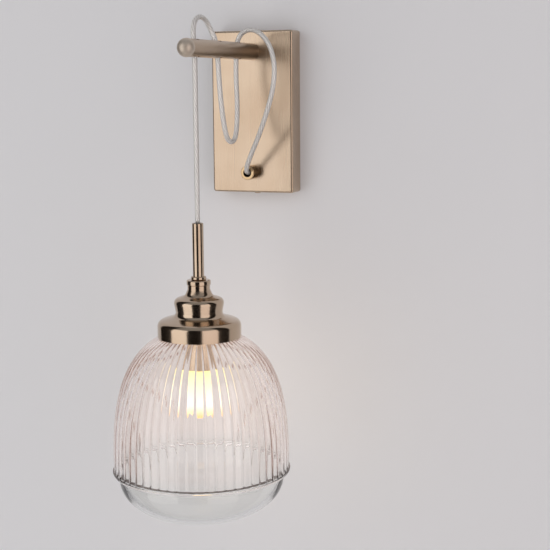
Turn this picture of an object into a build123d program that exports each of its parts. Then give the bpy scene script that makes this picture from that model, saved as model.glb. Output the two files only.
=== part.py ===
from build123d import *

import math
import os

# Hanging pendant wall sconce. A rectangular brass wall plate carries a round arm with three
# cross holes. A clear cord leaves a gland low on the plate, threads up and down through the
# arm and carries a pendant: stem, stepped cap, lampholder, bulb and a ribbed glass shade.
#
# Millimetres. +X is to the right of someone facing the wall, the wall is the plane y = 0,
# the object stands out from it towards -Y, and +Z is up. The origin is the middle of the
# plate's back, on the wall. A "reach" is a distance out from the wall.

# ---------------------------------------------------------------- driving dimensions

# wall plate
plate_width = 80.0
plate_height = 148.0
plate_depth = 20.0
plate_sheet = 1.2
plate_corner_radius = 2.5
plate_edge_radius = 2.2

# bracket behind the plate
bracket_width = 50.0
bracket_sheet = 1.5
bracket_gap = 0.3
tab_width = 30.0
tab_reach = 13.0
wall_slot_spacing = 70.0
wall_slot_length = 10.0
wall_slot_width = 4.6
mains_hole_diameter = 16.0
mains_hole_height = 18.0
plate_screw_diameter = 3.0
plate_screw_head_diameter = 6.0
plate_screw_head_height = 1.6
plate_screw_length = 8.0
plate_screw_reach = 7.0
driver_slot_width = 0.8
driver_slot_share = 0.5

# arm
arm_inset = 19.0
arm_diameter = 15.0
arm_tip_reach = 159.6
cord_hole_diameter = 8.0
cord_hole_reaches = (54.5, 98.0, 144.5)
arm_screw_diameter = 6.0
arm_screw_grip = 16.0
arm_screw_head_diameter = 10.0
arm_screw_head_height = 4.0
socket_diameter = 5.0
socket_depth = 2.4
arm_washer_diameter = 26.0
arm_washer_thickness = 2.0
end_ball_radius = 7.8
end_neck_diameter = 12.6
end_neck_length = 0.6
end_stud_diameter = 5.0
end_stud_length = 10.0

# cord and its gland
cord_diameter = 4.3
gland_inset = 19.0
gland_diameter = 13.2
gland_length = 13.0
gland_bore = 8.0
gland_bore_depth = 8.0
gland_rim_radius = 0.7
gland_spigot_diameter = 9.9
gland_spigot_length = 9.5
gland_nut_flats = 14.0
gland_nut_thickness = 3.0
bush_flange_diameter = 7.6
bush_flange_thickness = 2.0
bush_body_diameter = 6.4
bush_body_length = 13.0
cord_tail_inside = 1.5

# wiring behind the plate
core_diameter = 1.2
core_pitch = 1.3
core_reach = 8.0
core_bend_radius = 2.4
core_spread_start = 5.0
core_spread_end = 11.0
block_width = 26.0
block_depth = 13.0
block_height = 16.0
block_lift = 43.0
pole_spacing = 14.0
barrel_diameter = 4.0
barrel_bore = 2.6
pole_screw_diameter = 2.6
pole_screw_spacing = 8.0
pole_screw_length = 5.2
block_screw_diameter = 3.0
block_screw_head_diameter = 5.4
block_screw_head_height = 1.8
earth_offset = 18.0
earth_lift = 17.0
earth_screw_diameter = 4.0
earth_screw_head_diameter = 7.5
earth_screw_head_height = 2.4
lug_diameter = 8.0
lug_thickness = 0.8
lug_barrel_diameter = 2.8
lug_barrel_length = 6.0

# pendant: stem and cap
swing_drop = 2.5
swing_gap = 0.15
hang_length = 134.2
stem_diameter = 9.5
stem_bore = 7.0
stem_shown = 45.0
stem_inside = 14.0
stem_bush_diameter = 6.9
stem_bush_length = 12.0
stem_bush_recess = 1.0
collar_diameter = 12.9
collar_height = 3.0
collar_rounding = 1.0
cap_sheet = 0.9
cap_shoulder_radius = 11.0
cap_shoulder_bend = 1.9
cap_neck_radius = 9.5
cap_neck_drop = 6.6
cap_neck_bend = 4.0
cap_flare_radius = 12.6
cap_flare_drop = 14.0
cap_flare_bend = 5.0
cap_middle_radius = 22.1
cap_middle_drop = 16.6
cap_middle_bend = 4.6
cap_waist_radius = 18.4
cap_waist_drop = 29.4
cap_waist_bend = 3.2
cap_skirt_drop = 34.2
cap_skirt_bend = 5.6
cap_height = 48.5
cap_rim_radius = 35.6
cap_nut_flats = 14.0
cap_nut_thickness = 3.0
earth_tag_diameter = 13.0
earth_tag_thickness = 0.6

# pendant: lampholder
holder_hub_radius = 7.0
holder_hub_height = 4.5
holder_top_gap = 7.0
holder_shoulder_height = 5.0
holder_cap_radius = 12.5
holder_cap_height = 21.0
holder_wall = 2.0
holder_flange_height = 4.0
holder_body_radius = 10.35
holder_body_recess = 1.2
sleeve_radius = 11.2
sleeve_sheet = 0.8
sleeve_end = 28.5
thread_shell_sheet = 0.4
thread_shell_length = 18.0
contact_radius = 3.0
contact_height = 2.0

# pendant: bulb
bulb_cap_radius = 7.0
bulb_cap_length = 18.0
bulb_cap_rounding = 1.2
bulb_tip_radius = 2.6
bulb_tip_height = 1.6
bulb_skirt_radius = 9.4
bulb_skirt_height = 9.0
bulb_neck_radius = 8.6
bulb_radius = 10.6
bulb_length = 44.3
bulb_recess = 1.5
bulb_end_rounding = 8.6
bulb_glass_wall = 0.9
bulb_shoulder = 2.5
filament_radius = 0.7
filament_circle = 4.2
filament_count = 4
filament_length = 27.0

# pendant: glass shade and what holds it
glass_wall = 2.6
glass_seat_gap = 0.4
dome_radius = 75.5
dome_rise = 113.5
dome_power = 2.6
dome_skirt = 6.6
bead_proud = 1.0
bead_height = 2.4
bowl_ledge = 4.1
bowl_depth = 40.0
bowl_power = 2.5
outline_points = 9
neck_radius = 31.0
neck_height = 7.0
band_lip = 1.2
band_lip_radius = 27.5
gasket_thickness = 1.4

# clearances
slip = 0.05
screw_clearance = 0.2
cord_clearance = 0.05
thread_clearance = 0.08
band_gap = 0.15

# Where the cord runs, as points (x, reach, height) chosen along its middle line. It leaves
# the gland, rises to the right of the arm, drops through the hole nearest the plate, hangs
# in a narrow loop, comes up through the middle hole, arches over and goes down the last one.
cord_route = [
    (0.0, 27.0, -55.0),
    (0.0, 34.5, -55.0),
    (2.7, 41.5, -49.5),
    (10.4, 49.0, -37.0),
    (21.2, 58.0, -21.0),
    (31.8, 66.0, -1.0),
    (40.2, 71.0, 19.5),
    (42.8, 72.0, 39.5),
    (38.6, 70.0, 56.5),
    (28.6, 65.5, 68.4),
    (16.6, 60.4, 73.6),
    (5.4, 56.2, 70.6),
    (0.0, 54.4, 62.2),
    (-0.9, 54.3, 47.0),
    (-0.9, 54.9, 30.0),
    (1.4, 58.0, 10.0),
    (3.7, 64.6, -8.5),
    (4.5, 70.8, -21.8),
    (4.2, 79.3, -25.4),
    (3.4, 87.6, -21.3),
    (2.7, 92.6, -7.5),
    (2.0, 96.4, 11.0),
    (1.3, 98.1, 31.0),
    (0.7, 98.4, 47.0),
    (-1.2, 98.2, 63.0),
    (-5.0, 99.6, 71.2),
    (-6.2, 106.4, 79.4),
    (-5.4, 120.6, 82.0),
    (-3.8, 134.0, 79.0),
    (-2.0, 142.6, 70.8),
    (-0.6, 144.9, 60.5),
]
bend_share = 0.45

# ---------------------------------------------------------------- places worked out

arm_height = plate_height / 2 - arm_inset
gland_height = gland_inset - plate_height / 2
block_level = gland_height + block_lift
earth_place = (earth_offset, gland_height + earth_lift)
plate_face = plate_depth
plate_back_of_sheet = plate_depth - plate_sheet
bracket_height = plate_height - 2 * plate_sheet - 2 * bracket_gap
tab_level = bracket_height / 2 - bracket_sheet / 2
arm_radius = arm_diameter / 2
arm_underside = arm_height - arm_radius
cord_radius = cord_diameter / 2
gland_face = plate_depth + gland_length
bush_face = gland_face - gland_bore_depth + bush_flange_thickness
spigot_end = plate_depth - gland_spigot_length
cord_tail_end = bush_face - bush_flange_thickness - bush_body_length - cord_tail_inside

pendant_reach = cord_hole_reaches[-1]
pivot_height = arm_underside - swing_drop
pivot_clear = cord_radius + swing_gap
stem_top = pivot_height - hang_length
collar_top = stem_top - stem_shown
cap_top = collar_top - collar_height
cap_rim = cap_top - cap_height
cap_inner_rim_radius = cap_rim_radius - cap_sheet
stem_end = cap_top - stem_inside
cord_drop_end = stem_top - stem_bush_recess

nut_top = cap_top - cap_sheet - earth_tag_thickness
holder_top = cap_top - holder_top_gap
holder_cap_end = holder_top - holder_cap_height
sleeve_top = holder_cap_end - holder_flange_height
sleeve_bottom = cap_rim - sleeve_end
holder_body_end = sleeve_bottom + holder_body_recess
bulb_top = sleeve_bottom + bulb_recess
bulb_seat = bulb_top + bulb_skirt_height
bulb_cap_top = bulb_seat + bulb_cap_length
thread_shell_radius = bulb_cap_radius + thread_clearance
contact_low = bulb_cap_top + bulb_tip_height + slip
contact_top = contact_low + contact_height


def superellipse_rise(radius, base_radius, height, power):
    """Height of the curve |r/R|^n + |z/a|^n = 1 above its widest level, at one radius."""
    return height * (1 - (radius / base_radius) ** power) ** (1 / power)


bowl_radius = dome_radius - bowl_ledge
dome_level = cap_rim - glass_seat_gap - superellipse_rise(
    cap_inner_rim_radius, dome_radius, dome_rise, dome_power
)
bead_top = dome_level - dome_skirt
ledge_level = bead_top - bead_height
neck_root = dome_level + superellipse_rise(neck_radius, dome_radius, dome_rise, dome_power)
neck_top = neck_root + neck_height
gasket_top = neck_top + gasket_thickness
band_bottom = neck_root + glass_seat_gap

# ---------------------------------------------------------------- small builders


def on_wall(solid, x=0.0, z=0.0):
    """Turns a solid built upwards from the ground so that its height becomes its reach."""
    return Pos(x, 0, z) * Rot(90, 0, 0) * solid


def on_axis(solid):
    """Moves a solid built about the Z axis to the line that the pendant hangs on."""
    return Pos(0, -pendant_reach, 0) * solid


def tube(outer_radius, inner_radius, low, high):
    """Plain ring or cylinder about Z between two levels; an inner radius of 0 is solid."""
    body = Cylinder(outer_radius, high - low)
    if inner_radius > 0:
        body -= Cylinder(inner_radius, high - low)
    return Pos(0, 0, (low + high) / 2) * body


def turned(corners, radii=None):
    """Solid turned about Z from closed (radius, height) corners, each with a fillet radius."""
    outline = Polyline(*corners, close=True)
    face = Plane.XZ * make_face(outline)
    solid = revolve(face, Axis.Z)
    if radii:
        for (radius, height), size in radii.items():
            solid = fillet(edges_at(solid, radius, height), size)
    return solid


def edges_at(solid, radius, height, slack=0.01):
    """The full-circle edges about Z that have one radius and lie at one height."""
    found = [
        edge
        for edge in solid.edges().filter_by(GeomType.CIRCLE)
        if abs(edge.radius - radius) < slack and abs(edge.center().Z - height) < slack
    ]
    return found


def hex_nut(flats, bore_radius, low, high):
    """Hexagon nut about Z between two levels, with a plain bore."""
    nut = extrude(RegularPolygon(flats / 2, 6, major_radius=False), high - low)
    nut = Pos(0, 0, low) * nut
    return nut - tube(bore_radius, 0, low, high)


def slotted_screw(shank_radius, length, head_radius, head_height):
    """Screw about Z with its shank down from 0, a domed head above and a driver slot."""
    head = Cylinder(head_radius, head_height, align=(Align.CENTER, Align.CENTER, Align.MIN))
    head = fillet(edges_at(head, head_radius, head_height), head_height * driver_slot_share)
    slot = Box(
        2 * head_radius,
        driver_slot_width,
        head_height * driver_slot_share,
        align=(Align.CENTER, Align.CENTER, Align.MAX),
    )
    shank = Cylinder(shank_radius, length, align=(Align.CENTER, Align.CENTER, Align.MAX))
    return head - Pos(0, 0, head_height) * slot + shank


def rounded_slab(width, height, thickness, corner_radius, face_radius):
    """Rectangular block from 0 up, its four uprights and its upper rim rounded."""
    slab = extrude(RectangleRounded(width, height, corner_radius), thickness)
    rim = slab.faces().sort_by(Axis.Z)[-1].edges()
    return fillet(rim, face_radius)


def routed_tube(points, radius, section_radius_list):
    """Tube of one radius along straight runs joined by tangent arcs."""
    path = FilletPolyline(*points, radius=section_radius_list)
    start = Vector(points[0])
    heading = (Vector(points[1]) - start).normalized()
    section = Plane(origin=start, z_dir=heading) * Circle(radius)
    return sweep(section, path=path), path.length


def bend_radii(points):
    """Radius of each arc: a fixed share of its shorter run over the tangent of half its turn."""
    radii = []
    for before, corner, after in zip(points, points[1:], points[2:]):
        run_in = Vector(corner) - Vector(before)
        run_out = Vector(after) - Vector(corner)
        turn = math.radians(run_in.get_angle(run_out))
        radii.append(bend_share * min(run_in.length, run_out.length) / math.tan(turn / 2))
    return radii


def inset_corners(corners, radii, wall):
    """Moves an open outline sideways by a wall, to the right of its run, radii with it."""
    moved = []
    moved_radii = []
    steps = [Vector(*b) - Vector(*a) for a, b in zip(corners, corners[1:])]
    sides = [Vector(step.Y, -step.X).normalized() for step in steps]
    for index, corner in enumerate(corners):
        first = sides[max(index - 1, 0)]
        second = sides[min(index, len(sides) - 1)]
        shift = (first + second) * (wall / (1 + first.dot(second)))
        moved.append((corner[0] + shift.X, corner[1] + shift.Y))
    for index, radius in enumerate(radii):
        turn = steps[index].X * steps[index + 1].Y - steps[index].Y * steps[index + 1].X
        moved_radii.append(radius - wall if turn < 0 else radius + wall)
    return moved, moved_radii


# ---------------------------------------------------------------- wall plate and bracket


def make_wall_plate():
    """Folded brass cover, open at the back, drilled for the arm, the gland and two screws."""
    shell = rounded_slab(
        plate_width, plate_height, plate_depth, plate_corner_radius, plate_edge_radius
    )
    shell -= rounded_slab(
        plate_width - 2 * plate_sheet,
        plate_height - 2 * plate_sheet,
        plate_back_of_sheet,
        plate_corner_radius - plate_sheet,
        plate_edge_radius - plate_sheet,
    )
    arm_bore = tube(arm_screw_diameter / 2 + screw_clearance, 0, 0, plate_depth)
    shell -= Pos(0, arm_height, 0) * arm_bore
    gland_bore_cut = tube(gland_spigot_diameter / 2 + screw_clearance, 0, 0, plate_depth)
    shell -= Pos(0, gland_height, 0) * gland_bore_cut
    screw_cut = Cylinder(plate_screw_diameter / 2 + screw_clearance, 2 * plate_height)
    shell -= Pos(0, 0, plate_screw_reach) * Rot(90, 0, 0) * screw_cut
    return on_wall(shell)


def make_wall_bracket():
    """Flat strap on the wall with two slots, a mains hole and a tapped tab at each end."""
    strap = extrude(Rectangle(bracket_width, bracket_height), bracket_sheet)
    for side in (1, -1):
        tab = Box(
            tab_width,
            bracket_sheet,
            tab_reach,
            align=(Align.CENTER, Align.CENTER, Align.MIN),
        )
        strap += Pos(0, side * tab_level, 0) * tab
        slot = extrude(SlotOverall(wall_slot_length, wall_slot_width, rotation=90), bracket_sheet)
        strap -= Pos(0, side * wall_slot_spacing / 2, 0) * slot
    mains_hole = tube(mains_hole_diameter / 2, 0, 0, bracket_sheet)
    strap -= Pos(0, mains_hole_height, 0) * mains_hole
    screw_cut = Cylinder(plate_screw_diameter / 2 + slip, 2 * plate_height)
    strap -= Pos(0, 0, plate_screw_reach) * Rot(90, 0, 0) * screw_cut
    strap -= Pos(0, block_level, 0) * tube(block_screw_diameter / 2 + slip, 0, 0, bracket_sheet)
    earth_cut = tube(earth_screw_diameter / 2 + slip, 0, 0, bracket_sheet)
    strap -= Pos(earth_place[0], earth_place[1], 0) * earth_cut
    return on_wall(strap)


def make_plate_screws():
    """Two screws, down through the plate's top and up through its bottom, into the tabs."""
    screws = []
    for side in (1, -1):
        screw = slotted_screw(
            plate_screw_diameter / 2,
            plate_screw_length,
            plate_screw_head_diameter / 2,
            plate_screw_head_height,
        )
        turned_screw = screw if side > 0 else Rot(180, 0, 0) * screw
        screws.append(Pos(0, -plate_screw_reach, side * plate_height / 2) * turned_screw)
    return screws


# ---------------------------------------------------------------- arm


def make_arm_rod():
    """Round arm on the plate's face, tapped at both ends, with three upright cord holes."""
    rod = tube(arm_radius, 0, plate_face, arm_tip_reach)
    rod -= tube(
        arm_screw_diameter / 2 + slip,
        0,
        plate_face,
        plate_face + arm_screw_grip + screw_clearance,
    )
    rod -= tube(
        end_stud_diameter / 2 + slip,
        0,
        arm_tip_reach - end_stud_length - screw_clearance,
        arm_tip_reach,
    )
    for reach in cord_hole_reaches:
        bore = Rot(90, 0, 0) * Cylinder(cord_hole_diameter / 2, 2 * arm_diameter)
        rod -= Pos(0, 0, reach) * bore
    return on_wall(rod, z=arm_height)


def make_arm_end_ball():
    """Domed end of the arm, with a narrow neck behind it and a stud in the rod's end."""
    back = arm_tip_reach + end_neck_length
    dome = Sphere(end_ball_radius) & tube(end_ball_radius, 0, 0, end_ball_radius)
    knob = Pos(0, 0, back) * dome
    knob += tube(end_neck_diameter / 2, 0, arm_tip_reach, back)
    knob += tube(end_stud_diameter / 2, 0, arm_tip_reach - end_stud_length, back)
    return on_wall(knob, z=arm_height)


def make_arm_washer():
    """Stiff washer behind the plate's sheet, under the head of the arm's screw."""
    low = plate_back_of_sheet - arm_washer_thickness
    bore = arm_screw_diameter / 2 + screw_clearance
    washer = tube(arm_washer_diameter / 2, bore, low, plate_back_of_sheet)
    return on_wall(washer, z=arm_height)


def make_arm_screw():
    """Socket screw from inside the plate into the arm's root."""
    seat = plate_back_of_sheet - arm_washer_thickness
    back = seat - arm_screw_head_height
    screw = tube(arm_screw_head_diameter / 2, 0, back, seat)
    screw += tube(arm_screw_diameter / 2, 0, seat, plate_face + arm_screw_grip)
    key = extrude(RegularPolygon(socket_diameter / 2, 6, major_radius=False), socket_depth)
    screw -= Pos(0, 0, back) * key
    return on_wall(screw, z=arm_height)


# ---------------------------------------------------------------- gland and wiring


def make_cord_gland():
    """Brass ring that the cord leaves through, with a threaded spigot through the plate."""
    body = tube(gland_diameter / 2, 0, plate_face, gland_face)
    rim = edges_at(body, gland_diameter / 2, gland_face)
    body = fillet(rim, gland_rim_radius)
    body += tube(gland_spigot_diameter / 2, 0, spigot_end, plate_face)
    body -= tube(gland_bore / 2, 0, gland_face - gland_bore_depth, gland_face)
    body -= tube(bush_body_diameter / 2 + slip, 0, spigot_end, gland_face)
    return on_wall(body, z=gland_height)


def make_gland_nut():
    """Nut that pulls the gland against the plate from inside."""
    low = plate_back_of_sheet - gland_nut_thickness
    bore = gland_spigot_diameter / 2 + slip
    nut = hex_nut(gland_nut_flats, bore, low, plate_back_of_sheet)
    return on_wall(nut, z=gland_height)


def make_gland_bush():
    """Plastic bush in the gland's bore that grips the cord."""
    seat = bush_face - bush_flange_thickness
    bush = tube(bush_flange_diameter / 2, 0, seat, bush_face)
    bush += tube(bush_body_diameter / 2, 0, seat - bush_body_length, seat)
    bush -= tube(cord_radius + cord_clearance, 0, seat - bush_body_length, bush_face)
    return on_wall(bush, z=gland_height)


def make_cord_tail():
    """The cord's end inside the gland, up to where its jacket is stripped."""
    return on_wall(tube(cord_radius, 0, cord_tail_end, bush_face), z=gland_height)


def make_core_wires():
    """Two cores up to the terminal block and one across to the earth lug."""
    block_entry = block_level - block_height / 2
    lug_x, lug_z = earth_place
    lug_entry = lug_z - earth_screw_head_diameter / 2 - screw_clearance - lug_barrel_length
    lug_reach = bracket_sheet + lug_barrel_diameter / 2
    wires = []
    for side in (1, -1):
        pole = side * pole_spacing / 2
        route = [
            (side * core_pitch, -cord_tail_end, gland_height),
            (side * core_pitch, -core_reach, gland_height),
            (side * core_pitch, -core_reach, gland_height + core_spread_start),
            (pole, -core_reach, gland_height + core_spread_end),
            (pole, -core_reach, block_entry),
        ]
        wires.append(routed_tube(route, core_diameter / 2, core_bend_radius)[0])
    drop = gland_height - core_reach
    route = [
        (0, -cord_tail_end, gland_height),
        (0, -core_reach, gland_height),
        (0, -core_reach, drop),
        (lug_x, -lug_reach, drop),
        (lug_x, -lug_reach, lug_entry),
    ]
    wires.append(routed_tube(route, core_diameter / 2, core_bend_radius)[0])
    return wires


def pole_places():
    """Middle line of each pole of the terminal block, as x."""
    return (-pole_spacing / 2, pole_spacing / 2)


def make_terminal_block():
    """Two-pole block on the bracket, with cable ways, screw holes and a middle fixing."""
    body = Box(
        block_width, block_height, block_depth, align=(Align.CENTER, Align.CENTER, Align.MIN)
    )
    body = Pos(0, block_level, bracket_sheet) * body
    for x in pole_places():
        way = Rot(90, 0, 0) * Cylinder(barrel_diameter / 2 + slip, block_height)
        body -= Pos(x, block_level, core_reach) * way
        for side in (1, -1):
            well = tube(
                pole_screw_diameter / 2 + slip, 0, core_reach, bracket_sheet + block_depth
            )
            body -= Pos(x, block_level + side * pole_screw_spacing / 2, 0) * well
    fixing = tube(block_screw_diameter / 2 + slip, 0, 0, bracket_sheet + block_depth)
    head_well = tube(
        block_screw_head_diameter / 2 + screw_clearance,
        0,
        core_reach,
        bracket_sheet + block_depth,
    )
    body -= Pos(0, block_level, 0) * (fixing + head_well)
    return on_wall(body)


def make_terminal_barrels():
    """Brass barrels in the block that the cores are clamped in."""
    barrels = []
    for x in pole_places():
        barrel = Cylinder(barrel_diameter / 2, block_height)
        barrel -= Cylinder(barrel_bore / 2, block_height)
        barrel = Pos(x, block_level, core_reach) * Rot(90, 0, 0) * barrel
        for side in (1, -1):
            hole = tube(pole_screw_diameter / 2 + slip, 0, core_reach, core_reach + barrel_diameter)
            barrel -= Pos(x, block_level + side * pole_screw_spacing / 2, 0) * hole
        barrels.append(on_wall(barrel))
    return barrels


def make_terminal_screws():
    """Four grub screws, two to a barrel, that clamp the cores."""
    low = core_reach + core_diameter / 2 + slip
    screws = []
    for x in pole_places():
        for side in (1, -1):
            screw = tube(pole_screw_diameter / 2, 0, low, low + pole_screw_length)
            slot = Box(pole_screw_diameter, driver_slot_width, driver_slot_width)
            screw -= Pos(0, 0, low + pole_screw_length) * slot
            placed = Pos(x, block_level + side * pole_screw_spacing / 2, 0) * screw
            screws.append(on_wall(placed))
    return screws


def make_block_screw():
    """Screw that holds the terminal block to the bracket."""
    screw = slotted_screw(
        block_screw_diameter / 2,
        core_reach,
        block_screw_head_diameter / 2,
        block_screw_head_height,
    )
    return on_wall(Pos(0, block_level, core_reach) * screw)


def make_earth_lug():
    """Ring lug under the earth screw, with a barrel crimped on the earth core."""
    neck_start = earth_screw_head_diameter / 2 + screw_clearance
    tongue = Box(
        lug_barrel_diameter,
        neck_start + lug_barrel_length / 2,
        lug_thickness,
        align=(Align.CENTER, Align.MAX, Align.MIN),
    )
    lug = tube(lug_diameter / 2, 0, 0, lug_thickness) + tongue
    lug -= tube(earth_screw_diameter / 2 + slip, 0, 0, lug_thickness)
    barrel = Cylinder(lug_barrel_diameter / 2, lug_barrel_length)
    barrel -= Cylinder(core_diameter / 2 + slip, lug_barrel_length)
    barrel_middle = -(neck_start + lug_barrel_length / 2)
    barrel = Pos(0, barrel_middle, lug_barrel_diameter / 2) * Rot(90, 0, 0) * barrel
    lug += barrel
    return on_wall(Pos(earth_place[0], earth_place[1], bracket_sheet) * lug)


def make_earth_screw():
    """Screw that clamps the earth lug to the bracket."""
    screw = slotted_screw(
        earth_screw_diameter / 2,
        bracket_sheet + lug_thickness,
        earth_screw_head_diameter / 2,
        earth_screw_head_height,
    )
    level = bracket_sheet + lug_thickness
    return on_wall(Pos(earth_place[0], earth_place[1], level) * screw)


# ---------------------------------------------------------------- cord


def cord_points():
    """The cord's route as places in space, from the bush to just above the swing point."""
    start = (0.0, bush_face, gland_height)
    out = (0.0, cord_route[1][1], gland_height)
    end = (0.0, pendant_reach, pivot_height + pivot_clear)
    route = [start, out, *cord_route[2:], end]
    return [(x, -reach, z) for x, reach, z in route]


def make_cord_loops():
    """The cord from the gland through the arm's three holes, one unbroken tube."""
    points = cord_points()
    radii = bend_radii(points)
    loops, length = routed_tube(points, cord_radius, radii)
    print("cord bends, mm:", " ".join(f"{radius:.1f}" for radius in radii))
    print(f"cord length {length:.1f}, tightest bend {min(radii):.1f}")
    expected = math.pi * cord_radius**2 * length
    print(f"cord volume {loops.volume:.0f}, section times length {expected:.0f}")
    return loops


def make_cord_bend():
    """The short length of cord just under the arm that bends as the pendant swings."""
    return on_axis(Pos(0, 0, pivot_height) * Sphere(cord_radius))


def make_cord_drop():
    """The straight length of cord that the pendant hangs on."""
    return on_axis(tube(cord_radius, 0, cord_drop_end, pivot_height - pivot_clear))


# ---------------------------------------------------------------- stem and cap


def make_stem_tube():
    """Brass tube that carries the cap and the lampholder."""
    stem = tube(stem_diameter / 2, stem_bore / 2, stem_end, stem_top)
    return on_axis(stem)


def make_stem_bush():
    """Bush in the stem's mouth that grips the cord."""
    top = cord_drop_end
    outer = stem_bush_diameter / 2
    return on_axis(tube(outer, cord_radius + cord_clearance, top - stem_bush_length, top))


def make_stem_cord():
    """The cord inside the stem, down into the lampholder."""
    return on_axis(tube(cord_radius, 0, stem_end - holder_wall, cord_drop_end))


def make_stem_collar():
    """Small ring where the stem meets the cap."""
    outer = collar_diameter / 2
    ring = tube(outer, stem_diameter / 2 + slip, cap_top, collar_top)
    rims = edges_at(ring, outer, collar_top) + edges_at(ring, outer, cap_top)
    ring = fillet(rims, collar_rounding)
    return on_axis(ring)


def cap_outline():
    """Open outline of the cap's outside from its top hole to its rim, with corner radii."""
    steps = [
        (cap_shoulder_radius, 0.0, cap_shoulder_bend),
        (cap_neck_radius, cap_neck_drop, cap_neck_bend),
        (cap_flare_radius, cap_flare_drop, cap_flare_bend),
        (cap_middle_radius, cap_middle_drop, cap_middle_bend),
        (cap_waist_radius, cap_waist_drop, cap_waist_bend),
        (cap_rim_radius, cap_skirt_drop, cap_skirt_bend),
    ]
    corners = [(radius, cap_top - drop) for radius, drop, bend in steps]
    corners.insert(0, (stem_diameter / 2 + slip, cap_top))
    corners.append((cap_rim_radius, cap_rim))
    radii = [bend for radius, drop, bend in steps]
    return corners, radii


def make_cap_bell():
    """Spun brass cap in three steps, open below, of one sheet all over."""
    corners, radii = cap_outline()
    inner, inner_radii = inset_corners(corners, radii, cap_sheet)
    inner[0] = (corners[0][0], inner[0][1])
    outside = FilletPolyline(*corners, radius=radii)
    inside = FilletPolyline(*inner, radius=inner_radii)
    top = Line(corners[0], inner[0])
    rim = Line(corners[-1], inner[-1])
    face = Plane.XZ * make_face([outside, rim, inside, top])
    return on_axis(revolve(face, Axis.Z))


def make_earth_tag():
    """Tag washer under the cap's nut, for the earth core."""
    low = cap_top - cap_sheet - earth_tag_thickness
    high = cap_top - cap_sheet
    bore = stem_diameter / 2 + slip
    return on_axis(tube(earth_tag_diameter / 2, bore, low, high))


def make_cap_nut():
    """Nut inside the cap that holds it to the stem."""
    nut = hex_nut(cap_nut_flats, stem_diameter / 2 + slip, nut_top - cap_nut_thickness, nut_top)
    return on_axis(nut)


# ---------------------------------------------------------------- lampholder and bulb


def make_holder_cap():
    """Upper half of the lampholder, screwed on the stem's end."""
    shoulder = holder_top - holder_hub_height
    outer = turned(
        [
            (0, holder_top),
            (holder_hub_radius, holder_top),
            (holder_hub_radius, shoulder),
            (holder_cap_radius, shoulder - holder_shoulder_height),
            (holder_cap_radius, holder_cap_end),
            (0, holder_cap_end),
        ]
    )
    inner_radius = holder_cap_radius - holder_wall
    inside = turned(
        [
            (0, shoulder - holder_wall),
            (holder_hub_radius - holder_wall, shoulder - holder_wall),
            (inner_radius, shoulder - holder_shoulder_height - holder_wall),
            (inner_radius, holder_cap_end),
            (0, holder_cap_end),
        ]
    )
    bore = tube(stem_diameter / 2 + slip, 0, stem_end, holder_top)
    cord_way = tube(cord_radius + screw_clearance, 0, shoulder - 2 * holder_wall, holder_top)
    return on_axis(outer - inside - bore - cord_way)


def make_holder_body():
    """Lower half of the lampholder: a flange under the cap and a long bored barrel."""
    flange_low = holder_cap_end - holder_flange_height
    body = tube(holder_cap_radius, 0, flange_low, holder_cap_end)
    body += tube(holder_body_radius, 0, holder_body_end, flange_low)
    shell_room = thread_shell_radius + thread_shell_sheet + slip
    body -= tube(shell_room, 0, holder_body_end, contact_top)
    body -= tube(cord_radius, 0, contact_top, holder_cap_end)
    skirt_room = bulb_skirt_radius + thread_clearance
    body -= tube(skirt_room, 0, holder_body_end, bulb_seat + thread_clearance)
    return on_axis(body)


def make_holder_sleeve():
    """Brass sleeve over the lampholder's barrel, the part that shows inside the shade."""
    return on_axis(tube(sleeve_radius, sleeve_radius - sleeve_sheet, sleeve_bottom, sleeve_top))


def make_thread_shell():
    """Brass thread shell in the lampholder that the bulb screws into."""
    low = contact_top - thread_shell_length
    outer = thread_shell_radius + thread_shell_sheet
    return on_axis(tube(outer, thread_shell_radius, low, contact_top))


def make_holder_contact():
    """Sprung centre contact at the top of the thread shell."""
    return on_axis(tube(contact_radius, 0, contact_low, contact_top))


def make_bulb_cap():
    """Small screw cap of the bulb."""
    cap = tube(bulb_cap_radius, 0, bulb_seat, bulb_cap_top)
    cap = fillet(edges_at(cap, bulb_cap_radius, bulb_cap_top), bulb_cap_rounding)
    return on_axis(cap)


def make_bulb_tip():
    """Contact in the middle of the bulb's screw cap."""
    return on_axis(tube(bulb_tip_radius, 0, bulb_cap_top, bulb_cap_top + bulb_tip_height))


def make_bulb_skirt():
    """Plastic skirt between the bulb's screw cap and its glass."""
    return on_axis(tube(bulb_skirt_radius, 0, bulb_top, bulb_seat))


def bulb_outline(radius, neck, top, bottom):
    """Corners of a tubular bulb: neck, shoulder, straight side and a full round end."""
    return [
        (0, top),
        (neck, top),
        (radius, top - bulb_shoulder),
        (radius, bottom),
        (0, bottom),
    ]


def make_bulb_glass():
    """Tubular glass of the bulb, hollow, with a rounded end."""
    bottom = bulb_top - bulb_length
    outer = turned(
        bulb_outline(bulb_radius, bulb_neck_radius, bulb_top, bottom),
        {(bulb_radius, bottom): bulb_end_rounding},
    )
    inner_radius = bulb_radius - bulb_glass_wall
    inner = turned(
        bulb_outline(
            inner_radius,
            bulb_neck_radius - bulb_glass_wall,
            bulb_top - bulb_glass_wall,
            bottom + bulb_glass_wall,
        ),
        {(inner_radius, bottom + bulb_glass_wall): bulb_end_rounding - bulb_glass_wall},
    )
    return on_axis(outer - inner)


def make_bulb_filaments():
    """Upright filaments in a ring on a glass foot inside the bulb."""
    top = bulb_top - bulb_glass_wall
    foot = tube(filament_circle + 2 * filament_radius, 0, top - bulb_shoulder, top)
    low = top - bulb_shoulder - filament_length
    for index in range(filament_count):
        turn = 360 * (index + 0.5) / filament_count
        rod = Pos(filament_circle, 0, 0) * tube(filament_radius, 0, low, top - bulb_shoulder)
        foot += Rot(0, 0, turn) * rod
    return on_axis(foot)


# ---------------------------------------------------------------- glass shade


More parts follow.
